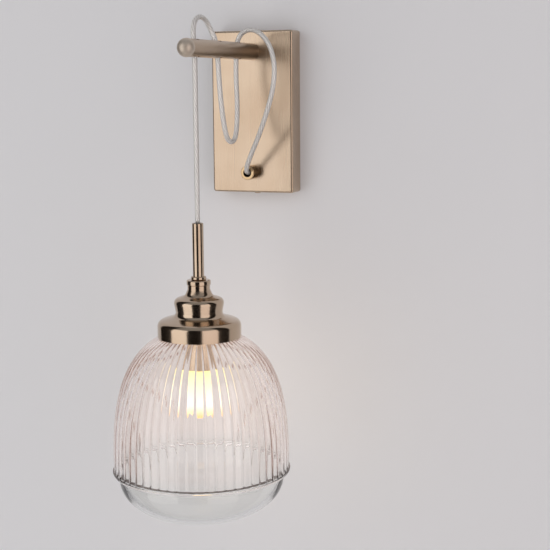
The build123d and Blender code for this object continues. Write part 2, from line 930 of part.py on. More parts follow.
def superellipse_points(radius_from, base_radius, level, height, power, count):
    """Points of the curve |r/R|^n + |z/a|^n = 1, spaced by angle from a radius to the base."""
    start = math.acos((radius_from / base_radius) ** (power / 2))
    points = []
    for index in range(count):
        angle = start * (1 - index / (count - 1))
        radius = base_radius * math.cos(angle) ** (2 / power)
        rise = height * math.sin(angle) ** (2 / power)
        points.append((radius, level + rise))
    return points


def shade_face(inset):
    """Half section of the shade, as an outside when the inset is 0, as its hollow otherwise."""
    neck = neck_radius - inset
    side = dome_radius - inset
    bowl = bowl_radius - inset
    ledge = ledge_level + inset
    dome = superellipse_points(
        neck, side, dome_level, dome_rise - inset, dome_power, outline_points
    )
    under = superellipse_points(0.0, bowl, 0.0, bowl_depth, bowl_power, outline_points)
    floor = [(radius, ledge - rise) for radius, rise in under]
    floor.reverse()
    parts = [
        Line((0, neck_top), (neck, neck_top)),
        Line((neck, neck_top), dome[0]),
        Spline(*dome),
    ]
    if inset:
        parts.append(Line(dome[-1], (side, ledge)))
    else:
        belly = (side + bead_proud, (bead_top + ledge) / 2)
        parts.append(Line(dome[-1], (side, bead_top)))
        parts.append(ThreePointArc((side, bead_top), belly, (side, ledge)))
    parts += [
        Line((side, ledge), floor[0]),
        Spline(*floor, tangents=((0, -1), (-1, 0))),
        Line(floor[-1], (0, neck_top)),
    ]
    return Plane.XZ * make_face(parts)


def make_shade_glass():
    """Clear blown shade: threaded neck, domed sides, bead, ledge and closed bowl."""
    outside = revolve(shade_face(0.0), Axis.Z)
    hollow = revolve(shade_face(glass_wall), Axis.Z)
    return on_axis(outside - hollow)


def make_neck_band():
    """Threaded band inside the cap's rim that the glass neck screws into, with a lip on top."""
    inner = neck_radius + thread_clearance
    outer = cap_inner_rim_radius - band_gap
    band = tube(outer, inner, band_bottom, gasket_top)
    band += tube(outer, band_lip_radius, gasket_top, gasket_top + band_lip)
    return on_axis(band)


def make_shade_gasket():
    """Rubber ring that lies on top of the glass neck."""
    return on_axis(tube(neck_radius, neck_radius - glass_wall, neck_top, gasket_top))


# ---------------------------------------------------------------- the nodes

pieces = {
    "wall_bracket": make_wall_bracket,
    "wall_plate": make_wall_plate,
    "plate_screws": make_plate_screws,
    "arm_rod": make_arm_rod,
    "arm_end_ball": make_arm_end_ball,
    "arm_washer": make_arm_washer,
    "arm_screw": make_arm_screw,
    "cord_gland": make_cord_gland,
    "gland_nut": make_gland_nut,
    "gland_bush": make_gland_bush,
    "cord_tail": make_cord_tail,
    "core_wires": make_core_wires,
    "terminal_block": make_terminal_block,
    "terminal_barrels": make_terminal_barrels,
    "terminal_screws": make_terminal_screws,
    "block_screw": make_block_screw,
    "earth_lug": make_earth_lug,
    "earth_screw": make_earth_screw,
    "cord_loops": make_cord_loops,
    "cord_bend": make_cord_bend,
    "cord_drop": make_cord_drop,
    "stem_bush": make_stem_bush,
    "stem_cord": make_stem_cord,
    "stem_tube": make_stem_tube,
    "stem_collar": make_stem_collar,
    "cap_bell": make_cap_bell,
    "earth_tag": make_earth_tag,
    "cap_nut": make_cap_nut,
    "holder_cap": make_holder_cap,
    "holder_body": make_holder_body,
    "holder_sleeve": make_holder_sleeve,
    "thread_shell": make_thread_shell,
    "holder_contact": make_holder_contact,
    "bulb_cap": make_bulb_cap,
    "bulb_tip": make_bulb_tip,
    "bulb_skirt": make_bulb_skirt,
    "bulb_glass": make_bulb_glass,
    "bulb_filaments": make_bulb_filaments,
    "neck_band": make_neck_band,
    "shade_gasket": make_shade_gasket,
    "shade_glass": make_shade_glass,
}

os.makedirs("parts", exist_ok=True)
for name, make in pieces.items():
    made = make()
    solids = made if isinstance(made, list) else [made]
    group = Compound(label=name, children=[solid for piece in solids for solid in piece.solids()])
    export_step(group, f"parts/{name}.step")
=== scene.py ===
"""Hanging pendant wall sconce: its finishes, cords, turned brass, filament bulb and glass shade.

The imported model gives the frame: metres, +Z up, the wall at y = 0, the light standing out
towards -Y. Each sub-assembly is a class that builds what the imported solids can't show and
dresses the rest. Surfaces are numpy grids, finishes are node materials sized from real
millimetres.
"""

import logging
import math
from dataclasses import dataclass
from enum import Enum

import bpy
import numpy as np
from mathutils import Matrix, Vector

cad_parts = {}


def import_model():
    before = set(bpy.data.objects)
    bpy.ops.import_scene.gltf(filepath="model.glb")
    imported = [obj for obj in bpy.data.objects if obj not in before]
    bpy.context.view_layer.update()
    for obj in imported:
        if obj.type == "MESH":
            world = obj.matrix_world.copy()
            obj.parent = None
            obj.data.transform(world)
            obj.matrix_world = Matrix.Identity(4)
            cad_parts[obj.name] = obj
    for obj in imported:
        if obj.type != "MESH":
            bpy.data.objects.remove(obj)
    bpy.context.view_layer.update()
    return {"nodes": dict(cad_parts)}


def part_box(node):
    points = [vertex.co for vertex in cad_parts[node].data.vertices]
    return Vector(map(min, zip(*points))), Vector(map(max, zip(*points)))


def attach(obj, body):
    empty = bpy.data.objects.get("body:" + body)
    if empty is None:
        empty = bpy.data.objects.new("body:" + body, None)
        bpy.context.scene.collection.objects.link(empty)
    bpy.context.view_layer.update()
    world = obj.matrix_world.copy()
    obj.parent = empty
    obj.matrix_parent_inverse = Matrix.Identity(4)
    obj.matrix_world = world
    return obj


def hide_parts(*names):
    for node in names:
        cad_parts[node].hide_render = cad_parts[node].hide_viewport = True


MM = 0.001
LOG = logging.getLogger("wall_sconce")
# A clear wall takes this little from the lamplight that passes it.
LAMPLIGHT_TINT = "f4f3f0"
# The angle past which turned metal keeps a crease.
METAL_CREASE = math.radians(40)

Colour = tuple[float, float, float, float]
Point = tuple[float, float, float]


# ---------------------------------------------------------------- small helpers


def to_linear(hex_colour: str) -> Colour:
    """Turns an sRGB hex colour into linear RGBA.

    Args:
        hex_colour: six hex digits, such as "c8a070".

    Returns:
        Red, green, blue and a full alpha, each from 0 to 1.
    """
    levels = [int(hex_colour[start : start + 2], 16) / 255 for start in (0, 2, 4)]
    red, green, blue = (
        level / 12.92 if level <= 0.04045 else ((level + 0.055) / 1.055) ** 2.4
        for level in levels
    )
    return red, green, blue, 1.0


def add_node(
    tree: bpy.types.NodeTree, kind: str, inputs: dict | None = None, **settings: object
) -> bpy.types.Node:
    """Adds one node with its settings, values and links.

    Args:
        tree: the node tree that gets the node.
        kind: Blender's name of the node's type.
        inputs: socket name or number, with a value or the output socket to link.
        settings: the node's own properties.

    Returns:
        The new node.
    """
    node = tree.nodes.new(kind)
    for name, value in settings.items():
        setattr(node, name, value)
    for key, value in (inputs or {}).items():
        if isinstance(value, bpy.types.NodeSocket):
            tree.links.new(value, node.inputs[key])
        else:
            node.inputs[key].default_value = value
    return node


def new_material(name: str) -> tuple[bpy.types.Material, bpy.types.NodeTree]:
    """Makes an empty node material.

    Args:
        name: the material's name.

    Returns:
        The material and its node tree.
    """
    material = bpy.data.materials.new(name)
    material.use_nodes = True
    material.node_tree.nodes.clear()
    return material, material.node_tree


def finish_surface(tree: bpy.types.NodeTree, shader: bpy.types.Node) -> None:
    """Links a shader node's first output to a new material output.

    Args:
        tree: the node tree.
        shader: the node that gives the surface.
    """
    add_node(tree, "ShaderNodeOutputMaterial", {"Surface": shader.outputs[0]})


def clear_to_lamps(tree: bpy.types.NodeTree, shader: bpy.types.Node) -> None:
    """Ends a clear material so that rays from lamps pass it and light what is behind it.

    Args:
        tree: the node tree.
        shader: the glass or plastic shader that everything else sees.
    """
    path = add_node(tree, "ShaderNodeLightPath")
    clear = add_node(tree, "ShaderNodeBsdfTransparent", {"Color": to_linear(LAMPLIGHT_TINT)})
    mix = add_node(
        tree,
        "ShaderNodeMixShader",
        {0: path.outputs["Is Shadow Ray"], 1: shader.outputs[0], 2: clear.outputs[0]},
    )
    finish_surface(tree, mix)


def uneven_skin(
    tree: bpy.types.NodeTree, size: float, depth: float, strength: float, detail: float
) -> tuple[bpy.types.NodeSocket, bpy.types.NodeSocket]:
    """Draws the unevenness of a surface at one real size, on Object coordinates.

    Args:
        tree: the material's node tree.
        size: how far apart the marks lie.
        depth: how deep they are.
        strength: the share of that depth that shows.
        detail: how many finer sizes lie on top.

    Returns:
        The marks' brightness, and the surface's direction as they bend it.
    """
    place = add_node(tree, "ShaderNodeTexCoord")
    marks = add_node(
        tree,
        "ShaderNodeTexNoise",
        {"Vector": place.outputs["Object"], "Scale": 1 / size, "Detail": detail},
    )
    bump = add_node(
        tree,
        "ShaderNodeBump",
        {"Height": marks.outputs["Fac"], "Strength": strength, "Distance": depth},
    )
    return marks.outputs["Fac"], bump.outputs[0]


def dress(piece: bpy.types.Object, material: bpy.types.Material) -> None:
    """Puts one material on a piece, in place of what it had.

    Args:
        piece: a mesh or curve object.
        material: the finish.
    """
    piece.data.materials.clear()
    piece.data.materials.append(material)


def axis_of(node: str) -> Point:
    """Gives a point, at height 0, on the upright axis through the middle of a node's box."""
    low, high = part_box(node)
    return (low.x + high.x) / 2, (low.y + high.y) / 2, 0.0


def half_width(node: str) -> float:
    """Gives half the width of a node's box, which is the radius of a round piece."""
    low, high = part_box(node)
    return (high.x - low.x) / 2


def grid_piece(
    name: str,
    grid: np.ndarray,
    loop_rows: bool = False,
    pole_start: bool = False,
    pole_end: bool = False,
) -> bpy.types.Object:
    """Makes a smooth mesh from a grid of points whose columns run all the way round.

    Each cell between two rows and two columns is a quad, the last column joins the first,
    and a row that has shrunk to a point is one vertex with a fan of triangles. The UV map
    is in metres: u round the piece, v along the profile.

    Args:
        name: the piece's name.
        grid: rows x columns x 3 array of places in metres.
        loop_rows: the last row joins the first, as on a closed ring.
        pole_start: the first row is one point.
        pole_end: the last row is one point.

    Returns:
        The new object, linked to the scene.
    """
    rows, columns = grid.shape[:2]
    numbers = np.arange(rows * columns).reshape(rows, columns)
    if pole_start:
        numbers[0] = numbers[0, 0]
    if pole_end:
        numbers[-1] = numbers[-1, 0]
    used, packed = np.unique(numbers, return_inverse=True)
    numbers = packed.reshape(rows, columns)
    lower = np.arange(rows if loop_rows else rows - 1)
    upper = (lower + 1) % rows
    first = np.arange(columns)
    second = (first + 1) % columns
    corners = np.stack(
        [
            numbers[np.ix_(lower, first)],
            numbers[np.ix_(lower, second)],
            numbers[np.ix_(upper, second)],
            numbers[np.ix_(upper, first)],
        ],
        axis=-1,
    ).reshape(-1, 4)
    steps = np.linalg.norm(np.diff(grid[:, 0], axis=0, append=grid[:1, 0]), axis=1)
    along = np.concatenate([[0.0], np.cumsum(steps)])
    around = np.linalg.norm(grid[:, 0] - grid[:, columns // 2], axis=1).max() * math.pi
    u = np.linspace(0, around, columns + 1)
    low, left = np.meshgrid(lower, first, indexing="ij")
    uv = np.stack(
        [
            np.stack([u[left], u[left + 1], u[left + 1], u[left]], axis=-1),
            np.stack([along[low], along[low], along[low + 1], along[low + 1]], axis=-1),
        ],
        axis=-1,
    ).reshape(-1, 4, 2)
    start_fan = corners[:, 0] == corners[:, 1]
    end_fan = corners[:, 2] == corners[:, 3]
    whole = ~(start_fan | end_fan)
    faces = [corners[whole], corners[start_fan][:, [0, 2, 3]], corners[end_fan][:, :3]]
    uvs = [uv[whole], uv[start_fan][:, [0, 2, 3]], uv[end_fan][:, :3]]
    mesh = bpy.data.meshes.new(name)
    points = grid.reshape(-1, 3)[used]
    mesh.from_pydata(points.tolist(), [], [face for part in faces for face in part.tolist()])
    layer = mesh.uv_layers.new(name="surface")
    flat = np.concatenate([part.reshape(-1, 2) for part in uvs])
    layer.data.foreach_set("uv", flat.astype(np.float32).ravel())
    mesh.shade_smooth()
    mesh.update()
    piece = bpy.data.objects.new(name, mesh)
    bpy.context.scene.collection.objects.link(piece)
    return piece


def lathe(profile: np.ndarray, columns: int, axis_place: Point) -> np.ndarray:
    """Turns a profile about an upright axis: x = -r sin(t), y = r cos(t), z = h from it.

    Args:
        profile: rows x 2 array of radius and height.
        columns: how many places round the axis.
        axis_place: a point on the axis; its height is added to the profile's.

    Returns:
        rows x columns x 3 grid, its seam on the wall's side, its faces outwards when the
        profile runs upwards outside.
    """
    turn = np.linspace(0, 2 * math.pi, columns, endpoint=False)
    radius, height = profile[:, :1], profile[:, 1:]
    x = axis_place[0] - radius * np.sin(turn)
    y = axis_place[1] + radius * np.cos(turn)
    z = axis_place[2] + height + 0 * turn
    return np.stack([x, y, z], axis=-1)


def rounded_profile(corners: list[tuple[float, float, float]], steps: int = 9) -> np.ndarray:
    """Rounds the corners of an open outline with tangent arcs.

    At each corner the arc of radius b starts b * tan(turn / 2) before it, and its points
    lie on the circle about the centre on the corner's inner side.

    Args:
        corners: radius, height and bend of each corner; a bend of 0 stays sharp.
        steps: points on each arc.

    Returns:
        rows x 2 array of radius and height.
    """
    places = [np.array(corner[:2]) for corner in corners]
    points = [places[0]]
    for index in range(1, len(corners) - 1):
        bend = corners[index][2]
        into = places[index] - places[index - 1]
        out = places[index + 1] - places[index]
        into = into / np.linalg.norm(into)
        out = out / np.linalg.norm(out)
        turn = math.acos(float(np.clip(into @ out, -1, 1)))
        if bend == 0 or turn == 0:
            points.append(places[index])
            continue
        start = places[index] - into * bend * math.tan(turn / 2)
        side = out - into * float(into @ out)
        side = side / np.linalg.norm(side)
        for angle in np.linspace(0, turn, steps):
            points.append(
                start + bend * (into * math.sin(angle) + side * (1 - math.cos(angle)))
            )
    points.append(places[-1])
    return np.array(points)


def inner_profile(profile: np.ndarray, wall: float) -> np.ndarray:
    """Moves a profile sideways by a wall, to the left of its run, where a shell's inside is.

    Args:
        profile: rows x 2 array that runs upwards outside.
        wall: the shell's thickness.

    Returns:
        The inside, in the same order.
    """
    run = np.gradient(profile, axis=0)
    run = run / np.linalg.norm(run, axis=1, keepdims=True)
    return profile + wall * np.stack([-run[:, 1], run[:, 0]], axis=1)


def middle_line(curve: bpy.types.Curve) -> np.ndarray:
    """Reads the points of a curve's own smooth line.

    Args:
        curve: a curve with no bevel.

    Returns:
        rows x 3 array of places along it.
    """
    holder = bpy.data.objects.new("line_reader", curve)
    bpy.context.scene.collection.objects.link(holder)
    mesh = bpy.data.meshes.new_from_object(holder)
    points = np.array([vertex.co for vertex in mesh.vertices])
    bpy.data.objects.remove(holder)
    bpy.data.meshes.remove(mesh)
    return points


def swept_grid(line: np.ndarray, radius: np.ndarray, pitch: float, columns: int) -> np.ndarray:
    """Carries a twisting cross-section along a line.

    The frame beside the line is turned as little as possible from point to point. The
    section's radius at angle t and distance s is radius(t - 2 pi s / pitch).

    Args:
        line: rows x 3 array of places.
        radius: the section's radius at each of its angles.
        pitch: length of one whole twist.
        columns: places round the section.

    Returns:
        rows x columns x 3 grid.
    """
    run = np.gradient(line, axis=0)
    run = run / np.linalg.norm(run, axis=1, keepdims=True)
    # No cord here starts out in line with this direction.
    slanting = (0.0, 1.0, 0.31)
    side = np.cross(run[0], slanting)
    sides = []
    for heading in run:
        side = side - heading * float(side @ heading)
        side = side / np.linalg.norm(side)
        sides.append(side)
    sides = np.array(sides)
    other = np.cross(run, sides)
    steps = np.linalg.norm(np.diff(line, axis=0), axis=1)
    along = np.concatenate([[0.0], np.cumsum(steps)])
    turn = np.linspace(0, 2 * math.pi, columns, endpoint=False)
    angle = turn[None, :] + 2 * math.pi * along[:, None] / pitch
    offset = sides[:, None] * np.cos(angle)[..., None] + other[:, None] * np.sin(angle)[..., None]
    return line[:, None] + offset * radius[None, :, None]


# ---------------------------------------------------------------- finishes


class Grain(Enum):
    """Which way the fine lines of a brushed or turned metal run."""

    UPRIGHT = "upright"
    RINGS = "rings"
    ARM_RINGS = "arm_rings"
    PROFILE = "profile"


@dataclass(frozen=True)
class SatinBrass:
    """Antique brass, brushed or spun and lacquered: warm tan, soft streaked reflections."""

    name: str
    tone: str = "c8b49e"
    deep_tone: str = "bfa992"
    roughness: float = 0.17
    grain: Grain = Grain.RINGS
    # Real brushing is about 0.1 mm apart; 0.7 mm is as fine as the picture can show.
    grain_pitch: float = 0.7 * MM
    grain_length: float = 60 * MM
    cloud_size: float = 45 * MM
    cloud_detail: float = 2.0
    cloud_range: tuple[float, float] = (0.35, 0.65)
    streak: float = 0.03
    streak_detail: float = 3.0
    streak_range: tuple[float, float] = (0.3, 0.7)
    streak_depth: float = 0.05 * MM
    streak_strength: float = 0.05
    lacquer: float = 0.15
    lacquer_roughness: float = 0.12

    def grain_vector(self, tree: bpy.types.NodeTree) -> bpy.types.NodeSocket:
        """Gives the coordinates that are short across the grain and long along it.

        Args:
            tree: the material's node tree.

        Returns:
            The socket of the scaled coordinates.
        """
        place = add_node(tree, "ShaderNodeTexCoord")
        vector = place.outputs["Object"]
        across, along = 1 / self.grain_pitch, 1 / self.grain_length
        scale = {
            Grain.UPRIGHT: (across, across, along),
            Grain.RINGS: (along, along, across),
            Grain.ARM_RINGS: (along, across, along),
            Grain.PROFILE: (along, along, across),
        }[self.grain]
        if self.grain is Grain.PROFILE:
            sides = add_node(tree, "ShaderNodeSeparateXYZ", {0: vector})
            profile = add_node(tree, "ShaderNodeSeparateXYZ", {0: place.outputs["UV"]})
            vector = add_node(
                tree,
                "ShaderNodeCombineXYZ",
                {0: sides.outputs[0], 1: sides.outputs[1], 2: profile.outputs[1]},
            ).outputs[0]
        return add_node(
            tree, "ShaderNodeMapping", {"Vector": vector, "Scale": scale}
        ).outputs[0]

    def material(self) -> bpy.types.Material:
        """Builds the finish: streaks in roughness and bump, slow clouds in the colour."""
        material, tree = new_material(self.name)
        streaks = add_node(
            tree,
            "ShaderNodeTexNoise",
            {"Vector": self.grain_vector(tree), "Scale": 1.0, "Detail": self.streak_detail},
        )
        place = add_node(tree, "ShaderNodeTexCoord")
        clouds = add_node(
            tree,
            "ShaderNodeTexNoise",
            {
                "Vector": place.outputs["Object"],
                "Scale": 1 / self.cloud_size,
                "Detail": self.cloud_detail,
            },
        )
        blend = add_node(
            tree,
            "ShaderNodeMapRange",
            {0: clouds.outputs["Fac"], 1: self.cloud_range[0], 2: self.cloud_range[1]},
        )
        base = add_node(
            tree,
            "ShaderNodeMix",
            {0: blend.outputs[0], 6: to_linear(self.tone), 7: to_linear(self.deep_tone)},
            data_type="RGBA",
        )
        roughness = add_node(
            tree,
            "ShaderNodeMapRange",
            {
                0: streaks.outputs["Fac"],
                1: self.streak_range[0],
                2: self.streak_range[1],
                3: self.roughness - self.streak,
                4: self.roughness + self.streak,
            },
        )
        bump = add_node(
            tree,
            "ShaderNodeBump",
            {
                "Height": streaks.outputs["Fac"],
                "Strength": self.streak_strength,
                "Distance": self.streak_depth,
            },
        )
        shader = add_node(
            tree,
            "ShaderNodeBsdfPrincipled",
            {
                "Base Color": base.outputs[2],
                "Metallic": 1.0,
                "Roughness": roughness.outputs[0],
                "Normal": bump.outputs[0],
                "Coat Weight": self.lacquer,
                "Coat Roughness": self.lacquer_roughness,
            },
        )
        finish_surface(tree, shader)
        return material


@dataclass(frozen=True)
class PlainMetal:
    """Rolled, plated or pressed metal that works out of sight: even, with faint handling marks."""

    name: str
    tone: str
    roughness: float = 0.35
    # Where it is handled it is smoother by the first of these, and elsewhere rougher.
    handling: tuple[float, float] = (0.12, 0.16)
    mark_size: float = 6 * MM
    mark_depth: float = 0.05 * MM
    mark_strength: float = 0.2
    mark_detail: float = 6.0

    def material(self) -> bpy.types.Material:
        """Builds the finish: one colour, uneven roughness and a shallow bump."""
        material, tree = new_material(self.name)
        marks, normal = uneven_skin(
            tree, self.mark_size, self.mark_depth, self.mark_strength, self.mark_detail
        )
        smooth, rough = self.roughness - self.handling[0], self.roughness + self.handling[1]
        roughness = add_node(tree, "ShaderNodeMapRange", {0: marks, 3: smooth, 4: rough})
        shader = add_node(
            tree,
            "ShaderNodeBsdfPrincipled",
            {
                "Base Color": to_linear(self.tone),
                "Metallic": 1.0,
                "Roughness": roughness.outputs[0],
                "Normal": normal,
            },
        )
        finish_surface(tree, shader)
        return material


@dataclass(frozen=True)
class MouldedPlastic:
    """Moulded plastic or rubber: one colour with the fine sparkle of a moulded skin."""

    name: str
    tone: str
    roughness: float = 0.42
    roughness_swing: float = 0.06
    skin_grain: float = 0.6 * MM
    skin_depth: float = 0.02 * MM
    skin_strength: float = 0.25
    skin_detail: float = 2.0

    def material(self) -> bpy.types.Material:
        """Builds the finish: one fine grain in the bump and in the roughness."""
        material, tree = new_material(self.name)
        grain, normal = uneven_skin(
            tree, self.skin_grain, self.skin_depth, self.skin_strength, self.skin_detail
        )
        smooth = self.roughness - self.roughness_swing
        rough = self.roughness + self.roughness_swing
        roughness = add_node(tree, "ShaderNodeMapRange", {0: grain, 3: smooth, 4: rough})
        shader = add_node(
            tree,
            "ShaderNodeBsdfPrincipled",
            {
                "Base Color": to_linear(self.tone),
                "Roughness": roughness.outputs[0],
                "Normal": normal,
            },
        )
        finish_surface(tree, shader)
        return material


@dataclass(frozen=True)
class CoreInsulation:
    """The three cores' thin plastic: brown, blue and green-and-yellow, side by side in x."""

    name: str = "core_insulation"
    colours: tuple[str, str, str] = ("6b3f22", "8fae2e", "1f5fb4")
    core_pitch: float = 1.3 * MM
    roughness: float = 0.38

    def material(self) -> bpy.types.Material:
        """Builds the finish: the colour changes halfway between the cores."""
        material, tree = new_material(self.name)
        place = add_node(tree, "ShaderNodeTexCoord")
        sides = add_node(tree, "ShaderNodeSeparateXYZ", {0: place.outputs["Object"]})
        reach = len(self.colours) * self.core_pitch / 2
        share = add_node(
            tree, "ShaderNodeMapRange", {0: sides.outputs[0], 1: -reach, 2: reach}
        )
        bands = add_node(tree, "ShaderNodeValToRGB", {0: share.outputs[0]})
        ramp = bands.color_ramp
        ramp.interpolation = "CONSTANT"
        ramp.elements[0].color = to_linear(self.colours[0])
        ramp.elements[1].position = 1 / 3
        ramp.elements[1].color = to_linear(self.colours[1])
        ramp.elements.new(2 / 3).color = to_linear(self.colours[2])
        shader = add_node(
            tree,
            "ShaderNodeBsdfPrincipled",
            {"Base Color": bands.outputs[0], "Roughness": self.roughness},
        )
        finish_surface(tree, shader)
        return material


@dataclass(frozen=True)
class ClearSolid:
    """Clear soda glass or clear vinyl: smooth, see-through, with a faint waviness."""

    name: str
    tone: str = "fbfcfb"
    roughness: float = 0.0
    index: float = 1.5
    wave_size: float = 22 * MM
    wave_height: float = 0.05 * MM
    wave_strength: float = 0.3
    wave_detail: float = 1.0
    # Painted glow: the glass gives off a little warm light of its own, in place of the lit bulb's
    # light that the ribs scatter, less and less towards their foot.
    painted_glow_tone: str = "ffbea4"
    painted_glow_strength: float = 0.0
    painted_glow_foot: float = 0.0
    painted_glow_top: float = 1.0

    def material(self) -> bpy.types.Material:
        """Builds the finish: clear, slightly wavy, open to lamps, and with a painted glow if it is
        given one.
        """
        material, tree = new_material(self.name)
        # So faint a painted glow lights nothing else, so it isn't sampled as a lamp.
        material.cycles.emission_sampling = "NONE"
        normal = uneven_skin(
            tree, self.wave_size, self.wave_height, self.wave_strength, self.wave_detail
        )[1]
        shader = add_node(
            tree,
            "ShaderNodeBsdfPrincipled",
            {
                "Base Color": to_linear(self.tone),
                "Roughness": self.roughness,
                "IOR": self.index,
                "Transmission Weight": 1.0,
                "Normal": normal,
                "Emission Strength": self.painted_glow_strength,
            },
        )
        # The painted glow rises from black at the foot to the glow tone at the top.
        if self.painted_glow_strength > 0:
            place = add_node(tree, "ShaderNodeTexCoord")
            sides = add_node(tree, "ShaderNodeSeparateXYZ", {0: place.outputs["Object"]})
            share = add_node(
                tree,
                "ShaderNodeMapRange",
                {0: sides.outputs[2], 1: self.painted_glow_foot, 2: self.painted_glow_top},
            )
            glow = add_node(tree, "ShaderNodeValToRGB", {0: share.outputs[0]})
            glow.color_ramp.elements[0].color = to_linear("000000")
            glow.color_ramp.elements[1].color = to_linear(self.painted_glow_tone)
            tree.links.new(glow.outputs[0], shader.inputs["Emission Color"])
        clear_to_lamps(tree, shader)
        return material


@dataclass(frozen=True)
class TinnedBraid:
    """Braided tinned copper under the clear jacket: silvery, in crossing diagonal bundles."""

    name: str = "tinned_copper_braid"
    bright: str = "f0eeec"
    dark: str = "9c9694"
    # The real bundles are about 0.6 mm wide; they are drawn 1.5 mm wide to show at all.
    bundle_width: float = 1.5 * MM
    bundle_depth: float = 0.15 * MM
    bundle_strength: float = 0.5
    lean: float = math.radians(38)
    metallic: float = 0.35
    roughness: float = 0.34

    def diagonal(
        self, tree: bpy.types.NodeTree, uv: bpy.types.NodeSocket, lean: float
    ) -> bpy.types.NodeSocket:
        """Draws one set of slanted bundles as bands on the tube's own UV map.

        A band texture of scale s repeats every pi / (10 s), here once a bundle.

        Args:
            tree: the material's node tree.
            uv: the UV socket, in metres.
            lean: the bundles' turn from the tube's length, in radians.

        Returns:
            The bands' brightness.
        """
        turned = add_node(tree, "ShaderNodeMapping", {"Vector": uv, "Rotation": (0, 0, lean)})
        bands = add_node(
            tree,
            "ShaderNodeTexWave",
            {"Vector": turned.outputs[0], "Scale": math.pi / (10 * self.bundle_width)},
            wave_type="BANDS",
            bands_direction="X",
        )
        return bands.outputs["Fac"]

    def material(self) -> bpy.types.Material:
        """Builds the finish: two crossing sets of bundles in colour and bump."""
        material, tree = new_material(self.name)
        uv = add_node(tree, "ShaderNodeTexCoord").outputs["UV"]
        left = self.diagonal(tree, uv, self.lean)
        right = self.diagonal(tree, uv, -self.lean)
        weave = add_node(tree, "ShaderNodeMath", {0: left, 1: right}, operation="MAXIMUM")
        base = add_node(
            tree,
            "ShaderNodeMix",
            {0: weave.outputs[0], 6: to_linear(self.dark), 7: to_linear(self.bright)},
            data_type="RGBA",
        )
        bump = add_node(
            tree,
            "ShaderNodeBump",
            {
                "Height": weave.outputs[0],
                "Strength": self.bundle_strength,
                "Distance": self.bundle_depth,
            },
        )
        shader = add_node(
            tree,
            "ShaderNodeBsdfPrincipled",
            {
                "Base Color": base.outputs[2],
                "Metallic": self.metallic,
                "Roughness": self.roughness,
                "Normal": bump.outputs[0],
            },
        )
        finish_surface(tree, shader)
        return material


@dataclass(frozen=True)
class GlowingGlass:
    """Bulb glass flooded by its own filaments: amber foot, near-white body, yellow crown."""

    name: str
    low: float
    high: float
    tones: tuple[str, str, str] = ("f2bc74", "fffaf0", "fff0a4")
    places: tuple[float, float, float] = (0.03, 0.3, 0.97)
    strength: float = 1.05
    # The glow outshines what lies behind the glass, so little of that is let through.
    tint: str = "5a4a34"
    roughness: float = 0.05

    def material(self) -> bpy.types.Material:
        """Builds the finish: glass that gives off light, its colour changing with height."""
        material, tree = new_material(self.name)
        place = add_node(tree, "ShaderNodeTexCoord")
        sides = add_node(tree, "ShaderNodeSeparateXYZ", {0: place.outputs["Object"]})
        share = add_node(
            tree, "ShaderNodeMapRange", {0: sides.outputs[2], 1: self.low, 2: self.high}
        )
        glow = add_node(tree, "ShaderNodeValToRGB", {0: share.outputs[0]})
        ramp = glow.color_ramp
        ramp.elements[0].position = self.places[0]
        ramp.elements[0].color = to_linear(self.tones[0])
        ramp.elements[1].position = self.places[2]
        ramp.elements[1].color = to_linear(self.tones[2])
        ramp.elements.new(self.places[1]).color = to_linear(self.tones[1])
        shader = add_node(
            tree,
            "ShaderNodeBsdfPrincipled",
            {
                "Base Color": to_linear(self.tint),
                "Roughness": self.roughness,
                "Transmission Weight": 1.0,
                "Emission Color": glow.outputs[0],
                "Emission Strength": self.strength,
            },
        )
        clear_to_lamps(tree, shader)
        return material


@dataclass(frozen=True)
class MattePaint:
    """Rolled matt wall or floor paint, seen only from its front."""

    name: str
    tone: str
    roughness: float = 0.85
    gloss: float = 0.2
    nap_size: float = 3 * MM
    nap_depth: float = 0.1 * MM
    nap_strength: float = 0.05
    nap_detail: float = 2.0

    def material(self) -> bpy.types.Material:
        """Builds the finish: matt colour with a roller's faint nap, open from behind."""
        material, tree = new_material(self.name)
        normal = uneven_skin(
            tree, self.nap_size, self.nap_depth, self.nap_strength, self.nap_detail
        )[1]
        paint = add_node(
            tree,
            "ShaderNodeBsdfPrincipled",
            {
                "Base Color": to_linear(self.tone),
                "Roughness": self.roughness,
                "Specular IOR Level": self.gloss,
                "Normal": normal,
            },
        )
        clear = add_node(tree, "ShaderNodeBsdfTransparent")
        side = add_node(tree, "ShaderNodeNewGeometry")
        mix = add_node(
            tree,
            "ShaderNodeMixShader",
            {0: side.outputs["Backfacing"], 1: paint.outputs[0], 2: clear.outputs[0]},
        )
        finish_surface(tree, mix)
        return material


# ---------------------------------------------------------------- camera and studio


@dataclass
class ViewCamera:
    """The photograph's viewpoint: where it stands, how it is turned and how long its lens is."""

    place: Point = (0.41328, -1.04886, 0.02414)
    yaw: float = math.radians(20.84)
    pitch: float = math.radians(9.04)
    roll: float = math.radians(-0.43)
    focal_pixels: float = 1190.61
    frame_pixels: float = 550.0
    sensor: float = 36.0

    def build(self) -> bpy.types.Object:
        """Makes the camera and hands it to the scene.

        Returns:
            The camera object.
        """
        ahead = Vector(
            (
                -math.sin(self.yaw) * math.cos(self.pitch),
                math.cos(self.yaw) * math.cos(self.pitch),
                -math.sin(self.pitch),
            )
        )
        level = Vector((math.cos(self.yaw), math.sin(self.yaw), 0.0))
        upright = level.cross(ahead)
        right = math.cos(self.roll) * level + math.sin(self.roll) * upright
        top = -math.sin(self.roll) * level + math.cos(self.roll) * upright
        turn = Matrix((right, top, -ahead)).transposed().to_4x4()
        data = bpy.data.cameras.new("view")
        data.sensor_width = self.sensor
        data.lens = self.sensor * self.focal_pixels / self.frame_pixels
        camera = bpy.data.objects.new("view", data)
        camera.matrix_world = Matrix.Translation(self.place) @ turn
        bpy.context.scene.collection.objects.link(camera)
        bpy.context.scene.camera = camera
        return camera


